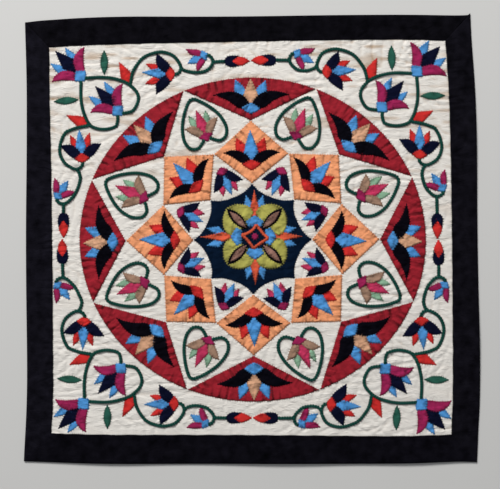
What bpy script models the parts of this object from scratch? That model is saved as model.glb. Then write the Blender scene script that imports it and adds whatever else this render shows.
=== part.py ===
"""Khayamiya panel: a square of appliqued cotton, laid flat with its face up.

+X is the right of the face, +Y its top and +Z up off the surface it lies on. Named sizes are in
millimetres, and the meshes are built in metres. Each motif is one body, its petals joined, and every
layer stands a small gap above the layer under it.
"""
from math import atan2, cos, degrees, floor, pi, radians, sin

import bpy
import numpy as np
from mathutils.geometry import delaunay_2d_cdt

MM = 0.001
PANEL = "khayamiya_panel"

# colour and roughness of each cloth
COTTON = {
    "ground": ((0.80, 0.76, 0.71), 0.90),
    "border": ((0.010, 0.008, 0.012), 0.88),
    "segment": ((0.31, 0.016, 0.027), 0.86),
    "quad": ((0.87, 0.32, 0.12), 0.88),
    "star": ((0.003, 0.009, 0.025), 0.86),
    "black": ((0.009, 0.008, 0.011), 0.86),
    "navy": ((0.006, 0.010, 0.030), 0.86),
    "red": ((0.65, 0.022, 0.021), 0.84),
    "vermilion": ((0.73, 0.088, 0.021), 0.84),
    "vine": ((0.010, 0.107, 0.061), 0.80),
}

# thickness of the cloths, and the gap kept between any two bodies
GROUND = 1.6
PATCH = 0.9
GAP = 0.3
CORD_WIDTH = 4.4

# gaps inside a motif with less area than this are closed, in square millimetres
SMALL_GAP = 60
ROSETTE_GAP = 400

# corners: outer point and inner point of the border, x and y
CORNERS = {
    "top_left": ((-453.1, 431.6), (-404.7, 381.8)),
    "top_right": ((436.1, 449.8), (386.5, 395.2)),
    "bottom_right": ((449.7, -446.4), (398.3, -391.6)),
    "bottom_left": ((-455.3, -444.8), (-400.5, -388.8)),
}

# sides: first corner, last corner, then points that the outer and the inner edge pass through
SIDES = {
    "top": ("top_left", "top_right",
            ((-405.7, 436.4), (-283.7, 442.2), (-3.7, 443.8), (276.3, 447.0), (416.3, 445.8)),
            ((-283.7, 387.4), (-3.7, 393.6), (276.3, 397.2))),
    "right": ("top_right", "bottom_right",
              ((438.6, 399.2), (447.3, 257.2), (450.7, -2.8), (455.3, -282.8), (452.3, -380.8)),
              ((394.7, 257.2), (399.7, -2.8), (401.3, -282.8))),
    "bottom": ("bottom_right", "bottom_left",
               ((402.3, -445.6), (276.3, -449.0), (-3.7, -449.4), (-283.7, -449.5)),
               ((276.3, -394.4), (-3.7, -392.2), (-283.7, -391.6))),
    "left": ("bottom_left", "top_left",
             ((-448.9, -282.8), (-451.1, 11.2), (-448.9, 257.2)),
             ((-396.7, -282.8), (-399.3, 51.2), (-403.0, 257.2))),
}

# border section: distance in from the fold, height of the outside face, height of the inside face
FLAP = ((52, 3.0, 1.9), (40, 3.0, 1.9), (27, 3.7, 2.6), (14, 4.4, 3.3), (4.4, 4.4, 3.3))
FOLD = ((1.3, 3.8), (0.0, 2.2), (1.3, 0.6))
FOLD_INSIDE = (2.6, 2.2)
HEM = ((4.4, 0.0, 1.1), (14, 0.0, 1.1))
BORDER_WIDTH = 52
STATIONS = 16
MITRE_GAP = 0.3
SMOOTH_BELOW = 40

# ground edge: distance in from the fold, height of its underside
TUCK = ((5.0, 1.4), (14, 1.4), (27, 0.7), (40, 0.0), (52, 0.0), (80, 0.0))

# how far the border's free edge stands off the surface: side, place along it, spread, lift
LIFTS = (
    ("bottom", 0.14, 0.10, 2.4),
    ("bottom", 0.42, 0.14, 3.2),
    ("bottom", 0.80, 0.10, 2.0),
    ("top", 0.24, 0.09, 2.2),
    ("top", 0.66, 0.12, 1.6),
    ("right", 0.30, 0.10, 1.8),
    ("right", 0.74, 0.08, 2.6),
    ("left", 0.36, 0.12, 1.6),
    ("left", 0.78, 0.09, 2.2),
)
LIFT_REACH = 80
CORNER_FADE = 0.06

# the field inside the border, as planned before it was cut and sewn by hand
FIELD_X = 400
FIELD_Y = 394

# the medallion: centre, half width and half height, and its construction radii as parts of those
CENTRE = (1.4, -2.7)
HALF_WIDTH = 347
HALF_HEIGHT = 325
NOTCH = 0.734
SHOULDER = 0.572
POINT = 0.345
VALLEY = 0.285
HOLLOW = ((7, 0.306), (15, 0.288))
ARC_STEPS = 12
# hand-laid unevenness inside the medallion: distance to the side or height, and how far pieces there moved
WITHIN = (0.8, 1.0)
SQUEEZED = ((0, 60, 120, 180, 230, 260), (0, 1, 1, 5, 3, 0))
RAISED = ((-330, -300, -240, -170, -110, -60, 0), (0, 4, 6, 4.5, 2, 0.5, 0))
ROSETTE_SHIFT = (4.4, 6.0)

# where the base of each motif lies, the edge allowance of the cut patches, and how many of each there are
RING_BASE = 0.775
QUAD_BASE = 0.427
INNER_BASE = 0.482
HEART_BASE = 0.66
DRAWN_IN = 0.5
AROUND = 8
SECTOR = 360 / AROUND
# how far the flowers of the ring were turned when they were laid down, in degrees
RING_TURN = (0, 5, 0, -6, 0, 2, 0, -2)

# petals of each lotus, half of it, across the axis and forward from the base
LOTUS = {
    "ring": {
        "calyx": (19, 11, 22), "tip": (77, 38.5), "belly": ((14.5, 36), (35, 45), (57, 43.5)),
        "under": ((60, 33), (43, 24.5), (29, 13.5)), "centre": (15, 36, 70),
        "side": ((29.5, 67.5), (11.5, 51), (11, 37), (31.5, 42.5)),
    },
    "quad": {
        "calyx": (19, 12.5, 21.5), "tip": (58, 34), "belly": ((13, 33), (31, 39.5), (45, 39)),
        "under": ((43, 28), (31, 20.5)), "centre": (15, 36, 81),
        "side": ((28, 65), (11, 51), (14, 38), (31, 41.5)),
    },
    "inner": {
        "calyx": (12.5, 9, 17), "tip": (32, 40), "belly": ((8, 32), (19, 38.5)),
        "under": ((25, 27), (18.5, 17)), "centre": (9.5, 34, 61),
        "side": ((15.5, 56), (7, 45), (8, 33), (19, 39)),
    },
    "heart": {
        "calyx": (15, 12, 18.5), "tip": (37, 38), "belly": ((11, 33), (22, 39)), "under": ((27, 25), (19, 17)),
        "centre": (11.5, 34, 68), "side": ((19, 61), (8, 46), (9, 33), (22, 42)),
    },
    "corner": {
        "calyx": (14.7, 14.3, 27.5), "tip": (47.5, 49),
        "belly": ((6.6, 37), (15, 47.5), (26.5, 52.3), (38, 52.7)),
        "under": ((37, 41), (26, 30), (19, 21)), "centre": (13.8, 47.5, 85.5),
        "side": ((22, 77), (11, 60), (11.4, 43), (26, 52)),
    },
    "curl": {
        "calyx": (14.5, 9.5, 20), "tip": (41, 38), "belly": ((8, 29), (21, 38.5)),
        "under": ((30.5, 23), (20, 12.5)), "centre": (10.5, 33, 69),
        "side": ((20, 59), (7.5, 46), (8, 31), (20, 38)),
    },
    "tendril": {
        "calyx": (10.5, 8.5, 16), "tip": (26.5, 35), "belly": ((5.5, 22), (13.5, 32)),
        "under": ((21, 23), (14, 12)), "centre": (8.5, 26, 45), "side": None,
    },
}

# half of the heart-shaped vine, from where it meets its flower's base to its tip
HEART = ((-3, 8), (-12, 0), (-24, -7), (-38, -2), (-45, 16), (-40, 42), (-26, 66), (-9, 85), (0, 89))

# the spray from one corner: distance along the side, distance in from it
SPRAY_HEART = (
    (66, 62), (106, 61), (136, 66), (160, 77), (175, 96), (177, 113), (167, 129), (150, 134), (138, 132),
)
CURL = (
    (162, 77), (168, 52), (186, 31), (206, 21), (228, 18),
    (250, 26), (263, 44), (263, 56), (256, 63), (246, 63),
)
TENDRIL = ((263, 50), (272, 56), (290, 60), (311, 58), (324, 49), (329, 38), (325, 28), (316, 23))
STEM_START = (327, 39)
RED_LEAF = ((140, 31), (153, 42), (165, 55), (162, 78), (144, 67))
CURL_FLOWER = ((253, 63), (184, 59))
TENDRIL_FLOWER = ((319, 22), (279, 40))
OUTER_FLOWER = ((71.5, 67), (12, 6))
INNER_FLOWER = ((144, 139), (91, 78))
INNER_SCALE = 0.95

CURL_RUN = (165, 185)
TENDRIL_RUN = (250, 320)
BUD_RUN = (280, 320)
# how much further in from the border the start of each run lies than it was planned
LEVEL_IN = 5
UPRIGHT_IN = 1.5

# the bud at the end of each run, half of it for the cup and the petal, and the room kept at its tip
PLANNED_IN = 38
BUD_LENGTH = 53
BUD_ROOM = 0.8
CUP = ((8, 5), (11.5, 14), (10, 27))
BUD_PETAL = ((6, 20), (9.5, 33))

# the two runs of each spray: corner signs, length of the curl and of the tendril as shares of the plan,
# how far in from the border the bud lies, and where on the side its tip points to
RUNS = (
    {"corner": (-1, 1), "level": (1.0, 1.0, 39, 4.7), "upright": (0.94, 0.973, 23, 3.5)},
    {"corner": (1, 1), "level": (1.0, 0.963, 38, 4.7), "upright": (0.94, 0.945, 29, -3)},
    {"corner": (1, -1), "level": (1.0, 0.96, 34, 0.6), "upright": (0.94, 0.96, 27, -3)},
    {"corner": (-1, -1), "level": (1.0, 0.985, 34, 0.6), "upright": (0.94, 0.966, 20, 3.5)},
)

# rosette: direction of each arm, then how far out its pad, its spike's root and its spike's tip are
ARMS = ((0, 31, 39, 96), (90, 30, 39, 94), (180, 37, 46, 111), (270, 34, 43, 99))
PAD = ((-13, -10), (13, -10), (18, 0), (8, 8), (0, 12), (-8, 8), (-18, 0))
# spike and the small petal beside it: across, share of the way from root to tip
SPIKE = ((3, -0.06), (9.5, 0.30), (3.5, 0.70), (0, 1), (-3.5, 0.70), (-9.5, 0.30), (-3, -0.06))
SPIKE_PETAL = ((3, 0.12), (11, 0.28), (21, 0.42), (17.5, 0.80), (4, 0.5))
LENS = (20, 80, 21)
OLIVE_OUTSIDE = ((0, 80), (15, 75), (29, 62), (35, 48), (32, 36))
OLIVE_INSIDE = ((15, 29), (9, 44), (8, 62), (0, 80))
DIAMOND = (27, 24)


def catmull(points, steps):
    """A smooth curve through the points, with this many steps between each pair."""
    p = np.asarray(points, float)
    q = np.vstack((2 * p[0] - p[1], p, 2 * p[-1] - p[-2]))
    t = np.linspace(0, 1, steps, endpoint=False)[:, None]
    out = []
    for a, b, c, d in zip(q[:-3], q[1:-2], q[2:-1], q[3:]):
        bend = (2 * a - 5 * b + 4 * c - d) * t**2
        swing = (3 * b - a - 3 * c + d) * t**3
        out.append(0.5 * (2 * b + (c - a) * t + bend + swing))
    return np.vstack((*out, p[-1:]))


def ramp(value, span):
    """0 before the span, 1 after it, and even between."""
    return np.clip((value - span[0]) / (span[1] - span[0]), 0, 1)


def bow(a, b, sag, steps):
    """Points from a up to, but without, b along a shallow arc that bulges to the right."""
    a = np.array(a, float)
    b = np.array(b, float)
    along = b - a
    right = np.array((along[1], -along[0])) / np.hypot(*along)
    t = np.linspace(0, 1, steps, endpoint=False)[:, None]
    return a + along * t + right * sag * 4 * t * (1 - t)


def flipped(points):
    """The mirror image across the axis, walked the other way round."""
    return np.asarray(points, float)[::-1] * (-1, 1)


def scatter(*seed):
    """A repeatable small number from -1 to 1, for the unevenness of handwork."""
    v = sum(s * k for s, k in zip(seed, (12.9898, 78.233)))
    swirl = sin(v) * 43758.5453
    return 2 * (swirl - floor(swirl)) - 1


def edge_curve(side, inner):
    """One edge of the border from corner to corner: the fold, or the sewn inner edge."""
    first, last, outside, inside = SIDES[side]
    middle = inside if inner else outside
    which = 1 if inner else 0
    return catmull((CORNERS[first][which], *middle, CORNERS[last][which]), 8)


INNER_EDGE = {side: edge_curve(side, True) for side in SIDES}


def offset_at(side, along):
    """How far the sewn inner edge of a side has strayed from its planned place."""
    curve = INNER_EDGE[side]
    if side in ("top", "bottom"):
        place, value, plan = curve[:, 0], curve[:, 1], FIELD_Y
    else:
        place, value, plan = curve[:, 1], curve[:, 0], FIELD_X
    if side in ("bottom", "left"):
        plan = -plan
    order = np.argsort(place)
    return np.interp(along, place[order], value[order]) - plan


def by_hand(points):
    """From the planned pattern to where the pieces really lie, following the uneven border."""
    p = np.asarray(points, float)
    x = p[..., 0]
    y = p[..., 1]
    across = ramp(x, (-FIELD_X, FIELD_X))
    up = ramp(y, (-FIELD_Y, FIELD_Y))
    shift_x = offset_at("left", y) * (1 - across) + offset_at("right", y) * across
    shift_y = offset_at("bottom", x) * (1 - up) + offset_at("top", x) * up
    radius = np.hypot((x - CENTRE[0]) / HALF_WIDTH, (y - CENTRE[1]) / HALF_HEIGHT)
    within = 1 - ramp(radius, WITHIN)
    shift_x = shift_x - np.sign(x) * np.interp(np.abs(x), *SQUEEZED) * within
    shift_y = shift_y + np.interp(y, *RAISED) * within
    return np.stack((x + shift_x, y + shift_y), axis=-1)


def polar(radius, angle):
    """A place in the medallion, the radius as a part of its half width and half height."""
    a = radians(angle)
    return np.array(CENTRE) + radius * np.array((HALF_WIDTH * cos(a), HALF_HEIGHT * sin(a)))


def put(points, base, heading):
    """From across and forward of a motif's own axis to a place on the panel."""
    p = np.asarray(points, float)
    forward = np.array((cos(radians(heading)), sin(radians(heading))))
    right = np.array((forward[1], -forward[0]))
    return np.asarray(base) + p[:, :1] * right + p[:, 1:] * forward


def heading_of(a, b):
    """Direction from a to b in degrees."""
    return degrees(atan2(b[1] - a[1], b[0] - a[0]))


def lotus(kind, base, heading, scale=1.0):
    """Outlines of one lotus: two curved outer petals, a middle one, small ones between and a calyx."""
    size = LOTUS[kind]
    wide, side_height, top = size["calyx"]
    shapes = []
    calyx = ((0, 0), (wide, side_height), (0, top), (-wide, side_height))
    shapes.append(np.vstack([bow(calyx[i], calyx[(i + 1) % 4], 1, 2) for i in range(4)]))
    belly = catmull(((0.5, top - 3), *size["belly"], size["tip"]), 3)
    under = catmull((size["tip"], *size["under"], (wide - 2, side_height - 1)), 2)
    petal = np.vstack((under[:-1], [(wide - 2, side_height - 1)], belly[:-1]))
    shapes += [petal, flipped(petal)]
    half, broad, tip = size["centre"]
    shapes.append(np.array(((0, top - 6), (half, broad), (0, tip), (-half, broad))))
    if size["side"]:
        # the lower end of a small petal runs on under the middle petal and the curved one
        point, inside, root, outside = size["side"]
        under_middle = (inside[0] * 0.4, inside[1] - 14)
        under_both = (root[0], root[1] - 9)
        under_curved = (outside[0] - 1, outside[1] - 7)
        small = np.array((under_middle, under_both, under_curved, outside, point, inside))
        shapes += [small, flipped(small)]
    return [put(shape * scale, base, heading) for shape in shapes]


def ribbon(path):
    """Four-cornered outlines that follow a cord, one for each of its steps."""
    p = np.asarray(path, float)
    along = np.gradient(p, axis=0)
    along /= np.linalg.norm(along, axis=1)[:, None]
    side = np.column_stack((along[:, 1], -along[:, 0])) * CORD_WIDTH / 2
    right = p + side
    left = p - side
    return [np.array((right[i], right[i + 1], left[i + 1], left[i])) for i in range(len(p) - 1)]


def heart_vine(base, heading):
    """The heart-shaped cord around a flower."""
    whole = [*HEART, *[(-u, v) for u, v in HEART[-2::-1]]]
    return put(catmull(whole, 2), base, heading)


def on_run(points, corner, run, upright):
    """From distance along and distance in to the panel, for one run of a spray."""
    near, far, bud_in, _ = run
    p = np.array(points, float)
    along = p[:, 0]
    share = 1 + (near - 1) * ramp(along, CURL_RUN) + (far - near) * ramp(along, TENDRIL_RUN)
    shift = (bud_in - PLANNED_IN) * ramp(along, BUD_RUN)
    shift = shift + (UPRIGHT_IN if upright else LEVEL_IN) * (1 - ramp(along, CURL_RUN))
    p = np.column_stack((along * share, p[:, 1] + shift))
    if upright:
        p = p[:, ::-1]
    return np.column_stack((corner[0] * (FIELD_X - p[:, 0]), corner[1] * (FIELD_Y - p[:, 1])))


def bud_base(corner, run, upright):
    """Where the bud of a run starts, so that its tip reaches the meeting point."""
    _, _, bud_in, meeting = run
    back = BUD_LENGTH + BUD_ROOM
    if upright:
        return np.array((corner[0] * (FIELD_X - bud_in), meeting + corner[1] * back))
    return np.array((meeting + corner[0] * back, corner[1] * (FIELD_Y - bud_in)))


def spray(row):
    """Outlines of everything joined to the vine that grows out of one corner."""
    corner = row["corner"]
    shapes = []
    for name in ("level", "upright"):
        upright = name == "upright"
        run = row[name]
        across = 180 if corner[0] > 0 else 0
        heading = -90 * corner[1] if upright else across
        for path in (SPRAY_HEART, CURL, TENDRIL):
            shapes += ribbon(on_run(catmull(path, 2), corner, run, upright))
        shapes.append(on_run(RED_LEAF, corner, run, upright))
        for kind, place in (("curl", CURL_FLOWER), ("tendril", TENDRIL_FLOWER)):
            base, tip = on_run(place, corner, run, upright)
            shapes += lotus(kind, base, heading_of(base, tip))
        base = bud_base(corner, run, upright)
        shapes += ribbon((on_run((STEM_START,), corner, run, upright)[0], put(((0, 3),), base, heading)[0]))
        shapes += bud(base, heading)
    for place, scale in ((OUTER_FLOWER, 1.0), (INNER_FLOWER, INNER_SCALE)):
        base, tip = on_run(place, corner, row["level"], False)
        shapes += lotus("corner", base, heading_of(base, tip), scale)
    return shapes


def bud(base, heading):
    """A closed bud: a rounded cup and the pointed petal in it."""
    cup = np.vstack(((0, 0), CUP, flipped(CUP)))
    petal = np.vstack((BUD_PETAL, (0, BUD_LENGTH), flipped(BUD_PETAL)))
    return [put(cup, base, heading), put(petal, base, heading)]


def rosette():
    """Outlines of the flower in the middle of the star."""
    middle = np.array(CENTRE) + ROSETTE_SHIFT
    root, tip, width = LENS
    shapes = []
    for heading, pad, spike_root, spike_tip in ARMS:
        shapes.append(put(np.add(PAD, (0, pad)), middle, heading))
        for outline in (SPIKE, SPIKE_PETAL, flipped(SPIKE_PETAL)):
            reach = (0, spike_root) + np.asarray(outline) * (1, spike_tip - spike_root)
            shapes.append(put(reach, middle, heading))
        diagonal = heading + 45
        outside = catmull(OLIVE_OUTSIDE, 2)
        half = np.vstack((outside[:-1], (OLIVE_OUTSIDE[-1],), OLIVE_INSIDE[:-1]))
        shapes.append(put(half, middle, diagonal))
        shapes.append(put(flipped(half), middle, diagonal))
        lens = np.vstack((bow((0, root), (0, tip), width / 2, 5), bow((0, tip), (0, root), width / 2, 5)))
        shapes.append(put(lens, middle, diagonal))
    wide, tall = DIAMOND
    shapes.append(middle + np.array(((wide, 0), (0, tall), (-wide, 0), (0, -tall))))
    return shapes


def joined(shapes, smallest=SMALL_GAP):
    """The outer edge, and the edges of any gaps, of overlapping outlines joined in one."""
    points = []
    faces = []
    for shape in shapes:
        start = len(points)
        area = np.dot(shape[:, 0], np.roll(shape[:, 1], -1)) - np.dot(shape[:, 1], np.roll(shape[:, 0], -1))
        ring = shape if area > 0 else shape[::-1]
        points += [tuple(p) for p in ring]
        faces.append(list(range(start, start + len(ring))))
    verts, _, tris, _, _, origin = delaunay_2d_cdt(points, [], faces, 1, 1e-4)
    used = set()
    for tri, source in zip(tris, origin):
        if source:
            used.update(zip(tri, (*tri[1:], tri[0])))
    rim = {(a, b) for a, b in used if (b, a) not in used}
    loops = []
    while rim:
        first = min(rim)
        step = first
        loop = []
        while step:
            rim.discard(step)
            loop.append(verts[step[0]])
            step = next_step(step, rim, verts)
        loops.append(np.array(loop))
    return [tidy(loop) for loop in loops if area_of(loop) > 0 or area_of(loop) < -smallest]


def next_step(step, rim, verts):
    """The rim edge that follows a step, keeping to the same open side where rims touch."""
    here = np.array(verts[step[1]])
    back = np.array(verts[step[0]]) - here
    options = [edge for edge in rim if edge[0] == step[1]]

    def turn(edge):
        out = np.array(verts[edge[1]]) - here
        return (atan2(out[1], out[0]) - atan2(back[1], back[0])) % (2 * pi)

    return min(options, key=turn) if options else None


def area_of(loop):
    """Signed area inside a loop."""
    x, y = loop[:, 0], loop[:, 1]
    return 0.5 * (np.dot(x, np.roll(y, -1)) - np.dot(y, np.roll(x, -1)))


def tidy(loop, near=1.2, straight=0.2, slit=0.38):
    """The loop without doubled points, points on a straight run, or slits too narrow to turn under."""
    points = list(loop)
    changed = True
    while changed and len(points) > 4:
        changed = False
        for i, p in enumerate(points):
            a = points[i - 1]
            b = points[(i + 1) % len(points)]
            chord = b - a
            span = np.hypot(*chord)
            turn = chord[0] * (p - a)[1] - chord[1] * (p - a)[0]
            off = abs(turn) / max(span, 1e-9)
            reach = np.hypot(*(p - a)) * np.hypot(*(p - b))
            opening = np.dot(a - p, b - p) / reach if reach > 0 else 1
            narrow = turn > 0 and opening > cos(slit)
            if np.hypot(*(p - a)) < near or off < straight or narrow:
                points.pop(i)
                changed = True
                break
    return np.array(points)


def drawn_in(loop, distance):
    """An outline moved inward all round by a distance."""
    before = loop - np.roll(loop, 1, axis=0)
    after = np.roll(loop, -1, axis=0) - loop
    n1 = np.column_stack((-before[:, 1], before[:, 0])) / np.linalg.norm(before, axis=1)[:, None]
    n2 = np.column_stack((-after[:, 1], after[:, 0])) / np.linalg.norm(after, axis=1)[:, None]
    middle = (n1 + n2) / (1 + np.sum(n1 * n2, axis=1))[:, None]
    return loop + middle * distance


def cotton(name):
    """The material of one cloth."""
    colour, roughness = COTTON[name]
    material = bpy.data.materials.get(name) or bpy.data.materials.new(name)
    material.use_nodes = True
    shader = material.node_tree.nodes["Principled BSDF"]
    shader.inputs["Base Color"].default_value = (*colour, 1)
    shader.inputs["Roughness"].default_value = roughness
    shader.inputs["Metallic"].default_value = 0
    material.diffuse_color = (*colour, 1)
    return material


def add(name, shape, cloth):
    """An object of this shape and cloth, among the parts of the panel."""
    shape.materials.append(cotton(cloth))
    body = bpy.data.objects.new(name, shape)
    bpy.data.collections[PANEL].objects.link(body)
    return body


def lofted(name, verts, faces, cloth):
    """A smooth-shaded mesh object from rows of points in millimetres."""
    mesh = bpy.data.meshes.new(name)
    mesh.from_pydata((np.array(verts) * MM).tolist(), [], faces)
    mesh.shade_smooth()
    mesh.set_sharp_from_angle(angle=radians(SMOOTH_BELOW))
    return add(name, mesh, cloth)


def cut_patch(name, loops, layer, cloth):
    """A flat patch of cloth on the ground, or on the patch below it, with the given edges."""
    middle = np.mean(loops[0], axis=0)
    outline = bpy.data.curves.new(name, "CURVE")
    outline.dimensions = "2D"
    outline.fill_mode = "BOTH"
    outline.extrude = PATCH / 2 * MM
    for loop in loops:
        spline = outline.splines.new("POLY")
        spline.points.add(len(loop) - 1)
        spline.use_cyclic_u = True
        for point, (x, y) in zip(spline.points, (loop - middle) * MM):
            point.co = (x, y, 0, 1)
    patch = add(name, outline, cloth)
    height = GROUND + GAP + layer * (PATCH + GAP) + PATCH / 2
    patch.location = np.array((*middle, height)) * MM


def even_stations(curve, shares):
    """Points on a curve at these shares of its length."""
    length = np.concatenate(([0], np.cumsum(np.linalg.norm(np.diff(curve, axis=0), axis=1))))
    at = np.asarray(shares) * length[-1]
    return np.column_stack((np.interp(at, length, curve[:, 0]), np.interp(at, length, curve[:, 1])))


def lift(side, share, inward):
    """How far the cloth stands off the surface at a share of a side and a distance in from the fold."""
    if inward >= LIFT_REACH:
        return 0.0
    height = 0.0
    for where, place, spread, top in LIFTS:
        if where == side:
            height += top * np.exp(-((share - place) / spread) ** 2)
    corner = min(share, 1 - share)
    return height * min(1.0, corner / CORNER_FADE) * (1 - inward / LIFT_REACH) ** 2


def stations_of(side):
    """Outer and inner points of the border's cross lines along a side."""
    shares = np.linspace(0, 1, STATIONS + 1)
    return shares, even_stations(edge_curve(side, False), shares), even_stations(edge_curve(side, True), shares)


def border_strip(side):
    """One side of the border: a wide front flap, the fold and the narrow hem behind, mitred at both ends."""
    shares, outer, inner = stations_of(side)
    along = (outer[-1] - outer[0]) / np.linalg.norm(outer[-1] - outer[0])
    profile = [(w, top) for w, top, _ in FLAP] + list(FOLD) + [(w, low) for w, low, _ in HEM]
    profile += [(w, high) for w, _, high in HEM[::-1]] + [FOLD_INSIDE]
    profile += [(w, under) for w, _, under in FLAP[::-1]]
    verts = []
    for j, share in enumerate(shares):
        nudge = along * MITRE_GAP * ((j == 0) - 1.0 * (j == STATIONS))
        for w, z in profile:
            point = outer[j] + (inner[j] - outer[j]) * w / BORDER_WIDTH + nudge
            verts.append((*point, z + lift(side, share, w)))
    ring = len(profile)
    faces = []
    for j in range(STATIONS):
        for i in range(ring):
            a = j * ring + i
            b = j * ring + (i + 1) % ring
            faces.append((a, a + ring, b + ring, b))
    pairs = ring // 2
    for i in range(pairs - 1):
        start = (i, i + 1, ring - 2 - i, ring - 1 - i)
        faces.append(start)
        faces.append(tuple(STATIONS * ring + k for k in start[::-1]))
    lofted(f"border_{side}", verts, faces, "border")


def ground_panel():
    """The cream ground, flat on the surface, its edges lying inside the folded border."""
    around = []
    for side in SIDES:
        shares, outer, inner = stations_of(side)
        around += [(side, shares[j], outer[j], inner[j]) for j in range(STATIONS)]
    count = len(around)
    verts = []
    for w, z in TUCK:
        for side, share, fold, seam in around:
            point = fold + (seam - fold) * w / BORDER_WIDTH
            verts.append((*point, z + lift(side, share, w)))
    faces = []
    for r in range(0, len(verts) - count, count):
        for j in range(count):
            k = (j + 1) % count
            faces.append((r + j, r + count + j, r + count + k, r + k))
    faces.append(tuple(len(verts) - 1 - j for j in range(count)))
    ground = lofted("ground_panel", verts, faces, "ground")
    shell = ground.modifiers.new("thickness", "SOLIDIFY")
    shell.thickness = GROUND * MM
    shell.offset = 1
    shell.use_even_offset = True


def medallion():
    """The ring of segments, the quads, the star, and the flowers on and between them."""
    for k in range(AROUND):
        number = k + 1
        middle = SECTOR * k
        between = middle + SECTOR / 2
        arc = [polar(1, turn) for turn in np.linspace(middle - SECTOR / 2, between, ARC_STEPS + 1)]
        segment = by_hand(np.array([*arc, polar(NOTCH, middle)]))
        cut_patch(f"crimson_segment_{number}", [drawn_in(segment, DRAWN_IN)], 0, "segment")
        shoulders = (polar(SHOULDER, between), polar(SHOULDER, middle - SECTOR / 2))
        quad = by_hand(np.array((polar(NOTCH, middle), shoulders[0], polar(POINT, middle), shoulders[1])))
        cut_patch(f"orange_quad_{number}", [drawn_in(quad, DRAWN_IN)], 0, "quad")
        base = polar(RING_BASE, middle + 0.6 * scatter(k, 2))
        flower(f"ring_lotus_{number}", lotus("ring", base, middle + RING_TURN[k] + scatter(k, 3)), 1, "black")
        base = polar(QUAD_BASE, middle)
        flower(f"orange_lotus_{number}", lotus("quad", base, middle + 2 * scatter(k, 4)), 1, "red")
        base = polar(INNER_BASE, between)
        flower(f"inner_lotus_{number}", lotus("inner", base, between + 180 + scatter(k, 5)), 0, "navy")
        base = polar(HEART_BASE, between)
        turn = between + 3 * scatter(k, 6)
        hearts = lotus("heart", base, turn) + ribbon(heart_vine(base, turn))
        flower(f"heart_vine_{number}", hearts, 0, "vine")
    star = []
    for k in range(AROUND):
        star.append(polar(POINT, SECTOR * k))
        star += [polar(radius, SECTOR * k + turn) for turn, radius in HOLLOW]
        star.append(polar(VALLEY, SECTOR * (k + 0.5)))
        star += [polar(radius, SECTOR * (k + 1) - turn) for turn, radius in HOLLOW[::-1]]
    cut_patch("navy_star", [drawn_in(by_hand(np.array(star)), DRAWN_IN)], 0, "star")
    flower("centre_rosette", rosette(), 1, "vermilion", ROSETTE_GAP)


def flower(name, shapes, layer, cloth, smallest=SMALL_GAP):
    """One joined motif, laid where the hand-cut panel has it."""
    cut_patch(name, [by_hand(loop) for loop in joined(shapes, smallest)], layer, cloth)


def build():
    """Make every body of the panel."""
    for body in list(bpy.data.objects):
        bpy.data.objects.remove(body, do_unlink=True)
    parts = bpy.data.collections.new(PANEL)
    bpy.context.scene.collection.children.link(parts)
    ground_panel()
    for side in SIDES:
        border_strip(side)
    medallion()
    for number, row in enumerate(RUNS):
        flower(f"corner_spray_{number + 1}", spray(row), 0, "vine")


build()
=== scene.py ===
"""Looks of the khayamiya panel: its cloths, petals, cords and stitches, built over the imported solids.

Lengths are in millimetres in the tables and the working arrays, and in metres in the meshes. Every layer
of cloth is laid on the height map of what is under it.
"""
from math import atan2, cos, degrees, floor, pi, radians, sin

import bpy
import numpy as np
from mathutils.geometry import delaunay_2d_cdt
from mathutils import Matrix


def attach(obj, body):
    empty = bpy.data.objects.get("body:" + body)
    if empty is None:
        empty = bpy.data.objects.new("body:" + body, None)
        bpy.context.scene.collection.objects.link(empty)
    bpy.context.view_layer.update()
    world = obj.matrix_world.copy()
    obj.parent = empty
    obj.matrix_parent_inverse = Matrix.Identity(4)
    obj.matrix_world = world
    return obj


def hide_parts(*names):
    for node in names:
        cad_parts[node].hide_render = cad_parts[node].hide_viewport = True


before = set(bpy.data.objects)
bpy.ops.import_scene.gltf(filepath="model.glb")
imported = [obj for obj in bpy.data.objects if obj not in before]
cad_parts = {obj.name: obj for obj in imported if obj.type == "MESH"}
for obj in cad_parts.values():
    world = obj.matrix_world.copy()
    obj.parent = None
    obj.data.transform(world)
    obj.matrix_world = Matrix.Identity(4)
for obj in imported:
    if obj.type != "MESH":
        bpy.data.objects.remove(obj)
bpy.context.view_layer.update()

MM = 0.001

# mean height of the ground's upper face
GROUND = 1.6

# corners: outer point and inner point of the border, x and y
CORNERS = {
    "top_left": ((-453.1, 431.6), (-404.7, 381.8)),
    "top_right": ((436.1, 449.8), (386.5, 395.2)),
    "bottom_right": ((449.7, -446.4), (398.3, -391.6)),
    "bottom_left": ((-455.3, -444.8), (-400.5, -388.8)),
}

# sides: first corner, last corner, then points that the outer and the inner edge pass through
SIDES = {
    "top": ("top_left", "top_right",
            ((-405.7, 436.4), (-283.7, 442.2), (-3.7, 443.8), (276.3, 447.0), (416.3, 445.8)),
            ((-283.7, 387.4), (-3.7, 393.6), (276.3, 397.2))),
    "right": ("top_right", "bottom_right",
              ((438.6, 399.2), (447.3, 257.2), (450.7, -2.8), (455.3, -282.8), (452.3, -380.8)),
              ((394.7, 257.2), (399.7, -2.8), (401.3, -282.8))),
    "bottom": ("bottom_right", "bottom_left",
               ((402.3, -445.6), (276.3, -449.0), (-3.7, -449.4), (-283.7, -449.5)),
               ((276.3, -394.4), (-3.7, -392.2), (-283.7, -391.6))),
    "left": ("bottom_left", "top_left",
             ((-448.9, -282.8), (-451.1, 11.2), (-448.9, 257.2)),
             ((-396.7, -282.8), (-399.3, 51.2), (-403.0, 257.2))),
}

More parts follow.
